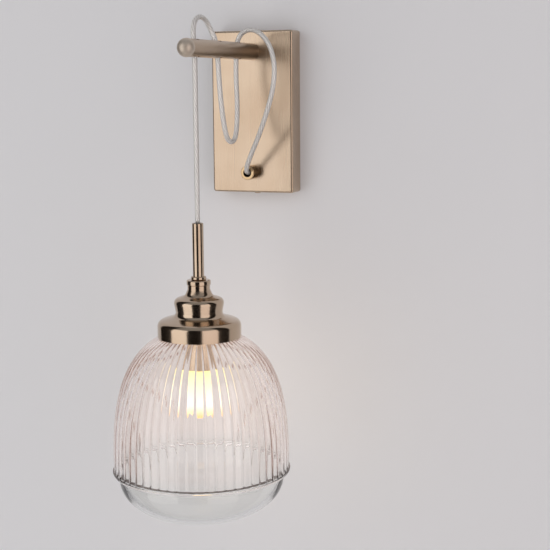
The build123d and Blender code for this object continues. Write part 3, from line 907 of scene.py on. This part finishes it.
@dataclass(frozen=True)
class SoftBox:
    """One soft studio lamp: a tall glowing rectangle on a bearing from the light."""

    name: str
    bearing: float
    width: float
    height: float
    radiance: float
    tone: str = "ffffff"

    def build(self, aim: Point, distance: float) -> None:
        """Makes the lamp; its power is radiance times pi times its area.

        Args:
            aim: the point that it faces.
            distance: how far it stands from that point.
        """
        data = bpy.data.lights.new(self.name, "AREA")
        data.shape = "RECTANGLE"
        data.size = self.width
        data.size_y = self.height
        data.energy = self.radiance * math.pi * self.width * self.height
        data.color = to_linear(self.tone)[:3]
        turn = math.radians(self.bearing)
        out = Vector((math.cos(turn), math.sin(turn), 0.0))
        lamp = bpy.data.objects.new(self.name, data)
        lamp.rotation_euler = (-out).to_track_quat("-Z", "Y").to_euler()
        lamp.location = Vector(aim) + out * distance
        bpy.context.scene.collection.objects.link(lamp)


@dataclass(frozen=True)
class DarkCard:
    """A studio flag: a dark upright card that only metal sees, between two bearings."""

    name: str
    first_bearing: float
    last_bearing: float
    first_distance: float = 2.1
    last_distance: float = 2.1
    low: float = -1.75
    high: float = 1.5

    def corners(self, middle: Point) -> list[Point]:
        """Places the card between its two upright edges.

        Args:
            middle: the point that it faces.

        Returns:
            Its four corners, in the order that makes it face that point.
        """
        (near_x, near_y), (far_x, far_y) = (
            (
                middle[0] + distance * math.cos(math.radians(bearing)),
                middle[1] + distance * math.sin(math.radians(bearing)),
            )
            for bearing, distance in (
                (self.last_bearing, self.last_distance),
                (self.first_bearing, self.first_distance),
            )
        )
        return [
            (near_x, near_y, self.low),
            (far_x, far_y, self.low),
            (far_x, far_y, self.high),
            (near_x, near_y, self.high),
        ]


@dataclass
class Studio:
    """Pale painted wall and floor, two tall soft boxes, dark flags and an even grey room."""

    wall_gap: float = 0.3 * MM
    plate_cover: float = 1.0 * MM
    reach: float = 4.0
    floor_drop: float = 1.8
    wall_tone: str = "eeeff2"
    floor_tone: str = "e4e3e2"
    flag_tone: str = "1c1815"
    room_tone: str = "e2e4e8"
    room_strength: float = 0.42
    # The pale wall is all round in the photograph's room, so glass refracts that much light.
    glass_strength: float = 0.85
    aim: Point = (0.0, -0.14, -0.25)
    box_distance: float = 1.9
    lamps: tuple[SoftBox, ...] = (
        SoftBox("left_box", -124.0, 1.69, 2.9, 1.0, "fffaf6"),
        SoftBox("right_box", -36.0, 1.57, 2.9, 0.82, "fff0ea"),
    )
    cards: tuple[DarkCard, ...] = (
        DarkCard("flag_middle", -100.0, -59.0),
        DarkCard("flag_left", -192.0, -147.0, first_distance=0.5),
        DarkCard("flag_right", -14.0, 19.0, last_distance=0.38),
    )

    def plane(self, name: str, corners: list[Point], paint: MattePaint) -> bpy.types.Object:
        """Makes one flat stage surface that faces the light.

        Args:
            name: its name.
            corners: its four corners, counter-clockwise as the light sees them, and after
                them the four of an opening in it, if it has one.
            paint: its finish.

        Returns:
            The new object.
        """
        mesh = bpy.data.meshes.new(name)
        faces = [(0, 1, 2, 3)]
        if len(corners) > 4:
            faces = [(side, (side + 1) % 4, (side + 1) % 4 + 4, side + 4) for side in range(4)]
        mesh.from_pydata(corners, [], faces)
        piece = bpy.data.objects.new(name, mesh)
        bpy.context.scene.collection.objects.link(piece)
        dress(piece, paint.material())
        return piece

    def light_room(self) -> None:
        """Makes the room's even light, which is stronger for what glass refracts."""
        world = bpy.data.worlds.new("room")
        world.use_nodes = True
        tree = world.node_tree
        tree.nodes.clear()
        path = add_node(tree, "ShaderNodeLightPath")
        strength = add_node(
            tree,
            "ShaderNodeMapRange",
            {
                0: path.outputs["Is Transmission Ray"],
                3: self.room_strength,
                4: self.glass_strength,
            },
        )
        light = add_node(
            tree,
            "ShaderNodeBackground",
            {"Color": to_linear(self.room_tone), "Strength": strength.outputs[0]},
        )
        add_node(tree, "ShaderNodeOutputWorld", {"Surface": light.outputs[0]})
        bpy.context.scene.world = world

    def build(self) -> None:
        """Makes the wall, the floor, the flags, the lamps and the room's light."""
        back, low, far = self.wall_gap, -self.floor_drop, self.reach
        # The wall is open behind the plate, which hides that, so light reaches its inside.
        plate_low, plate_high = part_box("wall_plate")
        left, right = plate_low.x + self.plate_cover, plate_high.x - self.plate_cover
        foot, head = plate_low.z + self.plate_cover, plate_high.z - self.plate_cover
        outer = [(-far, back, low), (far, back, low), (far, back, far), (-far, back, far)]
        inner = [(left, back, foot), (right, back, foot), (right, back, head), (left, back, head)]
        self.plane("wall", outer + inner, MattePaint("wall_paint", self.wall_tone))
        self.plane(
            "floor",
            [(-far, -far, low), (far, -far, low), (far, back, low), (-far, back, low)],
            MattePaint("floor_paint", self.floor_tone),
        )
        for card in self.cards:
            paint = MattePaint(card.name, self.flag_tone)
            flag = self.plane(card.name, card.corners(self.aim), paint)
            flag.visible_camera = False
            flag.visible_diffuse = False
            flag.visible_transmission = False
            flag.visible_shadow = False
        for lamp in self.lamps:
            lamp.build(self.aim, self.box_distance)
        self.light_room()


# ---------------------------------------------------------------- cords


@dataclass
class ClearCord:
    """One free stretch of the cord: a clear jacket on a smooth spline, a braid inside it."""

    name: str
    body: str
    node: str
    route: list[Point]
    real_length: float
    diameter: float = 4.3 * MM
    lay: str = "loose"
    braid_share: float = 0.74
    lobes: int = 6
    lobe_depth: float = 0.045
    twist_pitch: float = 17 * MM
    columns: int = 30
    line_steps: int = 12
    bevel_steps: int = 6

    def spline(self, name: str) -> bpy.types.Curve:
        """Makes the route's NURBS spline, with its chosen points as control points.

        Args:
            name: the curve's name.

        Returns:
            The curve, with no bevel.
        """
        curve = bpy.data.curves.new(name, "CURVE")
        curve.dimensions = "3D"
        curve.resolution_u = self.line_steps
        line = curve.splines.new("NURBS")
        line.points.add(len(self.route) - 1)
        for point, place in zip(line.points, self.route):
            point.co = (*place, 1.0)
        line.order_u = 3
        line.use_endpoint_u = True
        return curve

    def build(self, jacket: bpy.types.Material, braid: bpy.types.Material) -> None:
        """Args:
            jacket: the clear finish.
            braid: the finish of what lies inside.
        """
        line = middle_line(self.spline(self.name + "_line"))
        turn = np.linspace(0, 2 * math.pi, self.columns, endpoint=False)
        radius = self.braid_share * self.diameter / 2
        section = radius * (1 - self.lobe_depth * (1 - np.cos(self.lobes * turn)))
        grid = swept_grid(line, section, self.twist_pitch, self.columns)
        ends = np.repeat(line[[0, -1]][:, None], self.columns, axis=1)
        grid = np.concatenate([ends[:1], grid, ends[1:]])
        strands = grid_piece(self.name + "_braid", grid, pole_start=True, pole_end=True)
        dress(strands, braid)
        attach(strands, self.body)
        curve = self.spline(self.name)
        curve.bevel_depth = self.diameter / 2
        curve.bevel_resolution = self.bevel_steps
        curve.use_fill_caps = True
        sheath = bpy.data.objects.new(self.name, curve)
        bpy.context.scene.collection.objects.link(sheath)
        dress(sheath, jacket)
        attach(sheath, self.body)
        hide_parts(self.node)
        LOG.info("%s: %d points", self.name, len(self.route))


def from_millimetres(points: list[Point]) -> list[Point]:
    """Turns (x, reach, height) in millimetres into places in metres."""
    return [(x * MM, -reach * MM, height * MM) for x, reach, height in points]


# Where the cord runs: out of the gland, up to the right of the arm, down through the hole
# nearest the plate, round a narrow loop, up through the middle hole, over and down the last.
LOOP_ROUTE = from_millimetres(
    [
        (0.0, 27.0, -55.0),
        (0.0, 34.5, -55.0),
        (2.7, 41.5, -49.5),
        (10.4, 49.0, -37.0),
        (21.2, 58.0, -21.0),
        (31.8, 66.0, -1.0),
        (40.2, 71.0, 19.5),
        (42.8, 72.0, 39.5),
        (38.6, 70.0, 56.5),
        (28.6, 65.5, 68.4),
        (16.6, 60.4, 73.6),
        (5.4, 56.2, 70.6),
        (0.0, 54.4, 62.2),
        (-0.9, 54.3, 47.0),
        (-0.9, 54.9, 30.0),
        (1.4, 58.0, 10.0),
        (3.7, 64.6, -8.5),
        (4.5, 70.8, -21.8),
        (4.2, 79.3, -25.4),
        (3.4, 87.6, -21.3),
        (2.7, 92.6, -7.5),
        (2.0, 96.4, 11.0),
        (1.3, 98.1, 31.0),
        (0.7, 98.4, 47.0),
        (-1.2, 98.2, 63.0),
        (-5.0, 99.6, 71.2),
        (-6.2, 106.4, 79.4),
        (-5.4, 120.6, 82.0),
        (-3.8, 134.0, 79.0),
        (-2.0, 142.6, 70.8),
        (-0.6, 144.9, 60.5),
        (0.0, 144.5, 47.3),
        (0.0, 144.5, 45.0),
    ]
)

# The straight drop from the swing point under the arm into the stem's mouth.
DROP_ROUTE = from_millimetres(
    [
        (0.0, 144.5, 45.0),
        (0.0, 144.5, 42.7),
        (0.0, 144.5, 10.0),
        (0.0, 144.5, -25.0),
        (0.0, 144.5, -60.0),
        (0.0, 144.5, -90.2),
    ]
)

# The cord's real lengths along the two routes.
LOOP_LENGTH = 0.463
DROP_LENGTH = 0.1352


# ---------------------------------------------------------------- the light's sub-assemblies


@dataclass
class WallPlate:
    """Cover plate, its bracket and the wiring behind it."""

    brushed: tuple[str, ...] = ("wall_plate",)
    steel: tuple[str, ...] = ("wall_bracket", "block_screw", "arm_screw", "arm_washer")
    plated: tuple[str, ...] = ("earth_lug", "earth_screw", "terminal_screws")
    brass: tuple[str, ...] = ("terminal_barrels", "gland_nut")

    def build(self, nodes: dict[str, bpy.types.Object]) -> None:
        """Dresses the plate, its screws and everything behind it.

        Args:
            nodes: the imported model's objects by name.
        """
        plate = SatinBrass("brushed_plate_brass", grain=Grain.UPRIGHT, roughness=0.25)
        dress(nodes["wall_plate"], plate.material())
        dress(nodes["plate_screws"], SatinBrass("screw_brass", roughness=0.24).material())
        steel = PlainMetal("zinc_plated_steel", "b4b6b8").material()
        for name in self.steel:
            dress(nodes[name], steel)
        bright = PlainMetal("nickel_plated_steel", "c6c4be", roughness=0.25).material()
        for name in self.plated:
            dress(nodes[name], bright)
        brass = PlainMetal("plain_turned_brass", "c8a45c", roughness=0.3).material()
        for name in self.brass:
            dress(nodes[name], brass)
        dress(nodes["terminal_block"], MouldedPlastic("white_nylon", "e9e7e0").material())
        dress(nodes["core_wires"], CoreInsulation().material())
        LOG.info("wall plate, bracket and wiring dressed")


@dataclass
class Arm:
    """Round arm with its three cord holes and its domed end."""

    def build(self, nodes: dict[str, bpy.types.Object]) -> None:
        """Dresses the arm and its end.

        Args:
            nodes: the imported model's objects by name.
        """
        rod = SatinBrass("turned_arm_brass", grain=Grain.ARM_RINGS, roughness=0.31)
        dress(nodes["arm_rod"], rod.material())
        # The end's paler tone is partly painted highlight, the broad reflection of the soft box
        # that it faces; its rougher brushing is its own.
        end = SatinBrass(
            "brushed_end_brass_painted_highlight", "e4d8ca", "dacdbd", roughness=0.54, grain=Grain.ARM_RINGS
        )
        dress(nodes["arm_end_ball"], end.material())
        LOG.info("arm dressed")


@dataclass
class Gland:
    """Brass cord gland low on the plate, with its bush and the cord's end inside."""

    def build(self, nodes: dict[str, bpy.types.Object], jacket: bpy.types.Material) -> None:
        """Dresses the gland and what it grips.

        Args:
            nodes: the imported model's objects by name.
            jacket: the cord's clear finish.
        """
        ring = SatinBrass("turned_gland_brass", "ccb08a", "bfa27c", grain=Grain.ARM_RINGS)
        dress(nodes["cord_gland"], ring.material())
        rubber = MouldedPlastic("black_rubber", "1d1c1b", roughness=0.6)
        dress(nodes["gland_bush"], rubber.material())
        dress(nodes["cord_tail"], jacket)
        LOG.info("gland dressed")


@dataclass
class Pendant:
    """Stem, collar, spun cap and lampholder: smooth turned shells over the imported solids."""

    columns: int = 192
    stem_bore: float = 3.5 * MM
    collar_rounding: float = 1.0 * MM
    edge_rounding: float = 0.4 * MM
    cap_wall: float = 0.9 * MM
    sleeve_wall: float = 0.8 * MM
    # Radius, drop below the cap's top and bend of each corner of the spun outline, in mm.
    cap_corners: tuple[tuple[float, float, float], ...] = (
        (35.6, 48.5, 0.0),
        (35.6, 35.2, 5.6),
        (19.3, 30.4, 4.4),
        (21.8, 16.4, 4.6),
        (12.0, 13.6, 4.6),
        (9.5, 8.0, 3.0),
        (9.6, 4.3, 0.3),
        (10.2, 3.9, 0.3),
        (10.2, 0.0, 1.2),
        (4.75, 0.0, 0.0),
    )

    def shell(self, node: str, outside: np.ndarray, inside: np.ndarray, finish: str) -> None:
        """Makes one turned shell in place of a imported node.

        Args:
            node: the node that it replaces.
            outside: its outside, upwards, as radius and height.
            inside: its inside, downwards.
            finish: the name of its spun brass.
        """
        grid = lathe(np.concatenate([outside, inside]), self.columns, axis_of(node))
        piece = grid_piece(node + "_turned", grid, loop_rows=True)
        piece.data.set_sharp_from_angle(angle=METAL_CREASE)
        metal = SatinBrass(finish, grain=Grain.PROFILE, roughness=0.15, streak=0.035)
        dress(piece, metal.material())
        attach(piece, "pendant")
        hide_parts(node)
        LOG.info("%s: %d faces", piece.name, len(piece.data.polygons))

    def tube_shell(self, node: str, rounding: float, bore: float, finish: str) -> None:
        """Makes a plain turned ring: up its side, over its rounded ends and down its bore.

        Args:
            node: the node whose size it takes.
            rounding: radius of its outer edges.
            bore: radius of its bore.
            finish: the name of its spun brass.
        """
        low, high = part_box(node)
        radius = half_width(node)
        outside = rounded_profile(
            [
                (bore, low.z, 0.0),
                (radius, low.z, rounding),
                (radius, high.z, rounding),
                (bore, high.z, 0.0),
            ]
        )
        inside = np.array([[bore, high.z - rounding], [bore, low.z + rounding]])
        self.shell(node, outside, inside, finish)

    def build(self, nodes: dict[str, bpy.types.Object]) -> None:
        """Makes the turned shells and dresses what they hide.

        Args:
            nodes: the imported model's objects by name.
        """
        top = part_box("cap_bell")[1].z
        corners = [(r * MM, top - drop * MM, bend * MM) for r, drop, bend in self.cap_corners]
        outside = rounded_profile(corners)
        inside = inner_profile(outside, self.cap_wall)[::-1]
        inside[:, 0] = np.maximum(inside[:, 0], outside[-1, 0])
        self.shell("cap_bell", outside, inside, "spun_cap_brass")
        self.tube_shell("stem_tube", self.edge_rounding, self.stem_bore, "drawn_stem_brass")
        collar_bore = half_width("stem_tube")
        self.tube_shell("stem_collar", self.collar_rounding, collar_bore, "turned_collar_brass")
        sleeve_bore = half_width("holder_sleeve") - self.sleeve_wall
        self.tube_shell("holder_sleeve", self.edge_rounding, sleeve_bore, "drawn_sleeve_brass")
        brass = PlainMetal("plain_pressed_brass", "c0975a", roughness=0.32).material()
        for name in ("neck_band", "thread_shell", "cap_nut", "earth_tag"):
            dress(nodes[name], brass)
        holder = MouldedPlastic("black_phenolic", "232120", roughness=0.36).material()
        for name in ("holder_cap", "holder_body"):
            dress(nodes[name], holder)
        contact = PlainMetal("nickel_plated_contact", "c9c4b8", roughness=0.28).material()
        dress(nodes["holder_contact"], contact)
        dress(nodes["stem_bush"], MouldedPlastic("white_bush_nylon", "e6e3da").material())
        LOG.info("pendant built")


@dataclass
class FilamentBulb:
    """Slim lit bulb: glowing glass on its ceramic skirt and screw cap."""

    columns: int = 96
    end_rounding: float = 8.6 * MM
    neck_radius: float = 8.6 * MM
    shoulder: float = 2.5 * MM
    wall: float = 0.9 * MM
    arc_steps: int = 17
    watts: float = 0.1
    light_tone: str = "ffeae0"

    def add_light(self, glass: bpy.types.Object, place: Point) -> None:
        """Puts the bulb's own weak light inside its glass, hidden from every view of it.

        Args:
            glass: the bulb's glass, which carries the light.
            place: the middle of the glass.
        """
        data = bpy.data.lights.new("bulb_light", "POINT")
        data.energy = self.watts
        data.color = to_linear(self.light_tone)[:3]
        data.shadow_soft_size = self.neck_radius
        lamp = bpy.data.objects.new("bulb_light", data)
        lamp.location = place
        lamp.parent = glass
        lamp.visible_camera = False
        lamp.visible_transmission = False
        lamp.visible_glossy = False
        bpy.context.scene.collection.objects.link(lamp)

    def build(self, nodes: dict[str, bpy.types.Object]) -> None:
        """Makes the glass and dresses the rest of the bulb.

        Args:
            nodes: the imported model's objects by name.
        """
        low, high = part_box("bulb_glass")
        radius = half_width("bulb_glass")
        outside = rounded_profile(
            [
                (0.0, low.z, 0.0),
                (radius, low.z, self.end_rounding),
                (radius, high.z - self.shoulder, self.shoulder / 2),
                (self.neck_radius, high.z, 0.0),
            ],
            steps=self.arc_steps,
        )
        inside = inner_profile(outside, self.wall)[::-1]
        inside[:, 0] = np.maximum(inside[:, 0], 0.0)
        inside[-1, 0] = 0.0
        axis_place = axis_of("bulb_glass")
        grid = lathe(np.concatenate([outside, inside]), self.columns, axis_place)
        glass = grid_piece("bulb_glass_blown", grid, pole_start=True, pole_end=True)
        dress(glass, GlowingGlass("glowing_bulb_glass", low.z, high.z).material())
        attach(glass, "bulb")
        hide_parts("bulb_glass")
        self.add_light(glass, (axis_place[0], axis_place[1], (low.z + high.z) / 2))
        wire = GlowingGlass(
            "glowing_filament", low.z, high.z, ("fff0c8", "fffbee", "fff0c8"), strength=1.4
        )
        dress(nodes["bulb_filaments"], wire.material())
        ceramic = MouldedPlastic("glazed_white_ceramic", "efe9dc", roughness=0.2)
        dress(nodes["bulb_skirt"], ceramic.material())
        cap = PlainMetal("nickel_plated_brass", "cfc8b4", roughness=0.26).material()
        for name in ("bulb_cap", "bulb_tip"):
            dress(nodes[name], cap)
        LOG.info("bulb built")


@dataclass(frozen=True)
class ShadeLevels:
    """Where the shade's forms meet: two radii, then four heights from the bottom up."""

    side: float
    bowl: float
    ledge: float
    bead_top: float
    dome: float
    top: float


@dataclass
class GlassShade:
    """Clear blown shade: ribbed dome, bead, ledge and smooth closed bowl."""

    columns: int = 720
    rib_count: int = 60
    rib_depth: float = 0.7 * MM
    groove_power: float = 3.0
    # The angle, in degrees, past which the glass keeps a crease, as between two ribs.
    crease: float = 26.0
    wall: float = 2.6 * MM
    neck_radius: float = 31.0 * MM
    dome_rise: float = 113.5 * MM
    dome_power: float = 2.6
    dome_skirt: float = 6.6 * MM
    bead_height: float = 2.4 * MM
    bead_proud: float = 1.0 * MM
    ledge: float = 4.1 * MM
    bowl_depth: float = 40.0 * MM
    bowl_power: float = 2.5
    ledge_rounding: float = 0.8 * MM
    rib_fade: float = 1.4 * MM
    dome_rows: int = 42
    bowl_rows: int = 24
    bead_rows: int = 9
    skirt_rows: int = 6
    # Strength of the glass's painted glow, which stands in for the bulb's light in the ribs.
    painted_glow_strength: float = 0.036

    def curve(
        self, radius: float, rise: float, power: float, start_radius: float, rows: int
    ) -> np.ndarray:
        """Points of |r/R|^n + |h/a|^n = 1 from its widest level up to a smaller radius.

        Args:
            radius: R, at the widest level.
            rise: a, the height on the axis.
            power: n.
            start_radius: the radius where it ends.
            rows: how many points.

        Returns:
            rows x 2 array of radius and height above the widest level.
        """
        end = math.acos((start_radius / radius) ** (power / 2))
        angle = np.linspace(0.0, end, rows)
        cosine = np.clip(np.cos(angle), 0.0, 1.0)
        return np.stack(
            [radius * cosine ** (2 / power), rise * np.sin(angle) ** (2 / power)], axis=1
        )

    def levels(self) -> ShadeLevels:
        """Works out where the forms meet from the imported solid's box."""
        low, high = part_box("shade_glass")
        side = half_width("shade_glass") - self.bead_proud
        ledge = low.z + self.bowl_depth
        bead_top = ledge + self.bead_height
        dome = bead_top + self.dome_skirt
        return ShadeLevels(side, side - self.ledge, ledge, bead_top, dome, high.z)

    def outside(self, at: ShadeLevels) -> np.ndarray:
        """Runs up the outside: bowl, rounded ledge, half-round bead, skirt, dome and neck.

        The bead is half an ellipse, r = side + proud cos(t), h = middle + height/2 sin(t).

        Args:
            at: where the forms meet.

        Returns:
            rows x 2 array of radius and height.
        """
        floor = self.curve(at.bowl, self.bowl_depth, self.bowl_power, 0.0, self.bowl_rows)
        floor = (floor * (1.0, -1.0))[::-1] + (0.0, at.ledge)
        floor[0, 0] = 0.0
        step = rounded_profile(
            [
                tuple(floor[-2]) + (0.0,),
                (at.bowl, at.ledge, self.ledge_rounding),
                (at.side, at.ledge, 0.0),
            ]
        )[1:-1]
        swing = np.linspace(-math.pi / 2, math.pi / 2, self.bead_rows)
        bead = np.stack(
            [
                at.side + self.bead_proud * np.cos(swing),
                (at.ledge + at.bead_top) / 2 + self.bead_height / 2 * np.sin(swing),
            ],
            axis=1,
        )
        heights = np.linspace(at.bead_top, at.dome, self.skirt_rows)[1:-1]
        skirt = np.stack([np.full_like(heights, at.side), heights], axis=1)
        dome = self.curve(
            at.side, self.dome_rise, self.dome_power, self.neck_radius, self.dome_rows
        ) + (0.0, at.dome)
        neck = np.array([[self.neck_radius, at.top]])
        return np.concatenate([floor[:-1], step, bead, skirt, dome, neck])

    def inside(self, at: ShadeLevels) -> np.ndarray:
        """Runs down the inside, one wall in from the outside: neck, dome, ledge and bowl.

        Args:
            at: where the forms meet.

        Returns:
            rows x 2 array of radius and height.
        """
        lip = np.array([[self.neck_radius - self.wall, at.top]])
        hollow = self.curve(
            at.side - self.wall,
            self.dome_rise - self.wall,
            self.dome_power,
            self.neck_radius - self.wall,
            self.dome_rows // 2,
        ) + (0.0, at.dome)
        corner = np.array([[at.side - self.wall, at.ledge + self.wall]])
        under = self.curve(
            at.bowl - self.wall, self.bowl_depth, self.bowl_power, 0.0, self.bowl_rows
        ) * (1.0, -1.0) + (0.0, at.ledge + self.wall)
        under[-1, 0] = 0.0
        return np.concatenate([lip, hollow[::-1], corner, under])

    def rib_cut(self, outside: np.ndarray, at: ShadeLevels, turn: np.ndarray) -> np.ndarray:
        """Gives the grooves' depth: rib depth times (1 - |cos(n t / 2)|) to a power, n ribs.

        The depth grows from nothing over rib_fade, above the bead and below the dome's end.

        Args:
            outside: the outside's radius and height, its last row the neck's.
            at: where the forms meet.
            turn: the angles round the shade.

        Returns:
            rows x columns array of depths.
        """
        level = outside[:, 1]
        above = np.clip((level - at.bead_top) / self.rib_fade, 0.0, 1.0)
        below = np.clip((level[-2] - level) / self.rib_fade, 0.0, 1.0)
        groove = (1 - np.abs(np.cos(self.rib_count * turn / 2))) ** self.groove_power
        return (self.rib_depth * above * below)[:, None] * groove

    def build(self, nodes: dict[str, bpy.types.Object]) -> None:
        """Turns the profile into a shell, cuts its ribs, and dresses it and its gasket.

        Args:
            nodes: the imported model's objects by name.
        """
        at = self.levels()
        outside = self.outside(at)
        profile = np.concatenate([outside, self.inside(at)])
        grid = lathe(profile, self.columns, axis_of("shade_glass"))
        turn = np.linspace(0, 2 * math.pi, self.columns, endpoint=False)
        cut = self.rib_cut(outside, at, turn)
        grid[: len(outside), :, 0] += cut * np.sin(turn)
        grid[: len(outside), :, 1] -= cut * np.cos(turn)
        glass = grid_piece("shade_glass_ribbed", grid, pole_start=True, pole_end=True)
        glass.data.set_sharp_from_angle(angle=math.radians(self.crease))
        # The glass gets a painted glow from the ledge up, in place of the bulb's light in it.
        soda_glass = ClearSolid(
            "clear_soda_glass",
            painted_glow_strength=self.painted_glow_strength,
            painted_glow_foot=at.ledge,
            painted_glow_top=at.dome + self.dome_skirt,
        )
        dress(glass, soda_glass.material())
        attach(glass, "shade")
        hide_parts("shade_glass")
        silicone = MouldedPlastic("grey_silicone", "8c8a86", roughness=0.6)
        dress(nodes["shade_gasket"], silicone.material())
        LOG.info("shade: %d faces", len(glass.data.polygons))


@dataclass
class CordBend:
    """The cord's short bend under the arm: a ball of braid where its two runs meet."""

    columns: int = 32
    rows: int = 17
    braid_share: float = 0.73

    def build(self, braid: bpy.types.Material) -> None:
        """Makes the ball, a circle of the braid's radius turned about the cord.

        Args:
            braid: the finish of the cord's inside.
        """
        low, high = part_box("cord_bend")
        middle = ((low.x + high.x) / 2, (low.y + high.y) / 2, (low.z + high.z) / 2)
        radius = self.braid_share * half_width("cord_bend")
        swing = np.linspace(-math.pi / 2, math.pi / 2, self.rows)
        profile = radius * np.stack([np.cos(swing), np.sin(swing)], axis=1)
        grid = lathe(profile, self.columns, middle)
        ball = grid_piece("cord_bend_braid", grid, pole_start=True, pole_end=True)
        dress(ball, braid)
        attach(ball, "cord_swing")
        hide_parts("cord_bend")
        LOG.info("cord bend: %d faces", len(ball.data.polygons))


def main() -> None:
    """Builds the light in order and reports each piece."""
    logging.basicConfig(level=logging.INFO, format="%(message)s")
    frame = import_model()
    nodes = frame["nodes"]
    ViewCamera().build()
    jacket = ClearSolid("clear_vinyl_jacket", roughness=0.04, wave_size=4 * MM).material()
    braid = TinnedBraid().material()
    loops = ClearCord("cord_loops_jacket", "root", "cord_loops", LOOP_ROUTE, LOOP_LENGTH)
    loops.build(jacket, braid)
    drop = ClearCord(
        "cord_drop_jacket", "hanging_cord", "cord_drop", DROP_ROUTE, DROP_LENGTH, lay="hanging"
    )
    drop.build(jacket, braid)
    Studio().build()
    WallPlate().build(nodes)
    Arm().build(nodes)
    Gland().build(nodes, jacket)
    CordBend().build(braid)
    Pendant().build(nodes)
    dress(nodes["stem_cord"], jacket)
    FilamentBulb().build(nodes)
    GlassShade().build(nodes)
    bpy.context.scene.view_settings.view_transform = "Standard"
    bpy.context.view_layer.update()


if __name__ == "__main__":
    main()
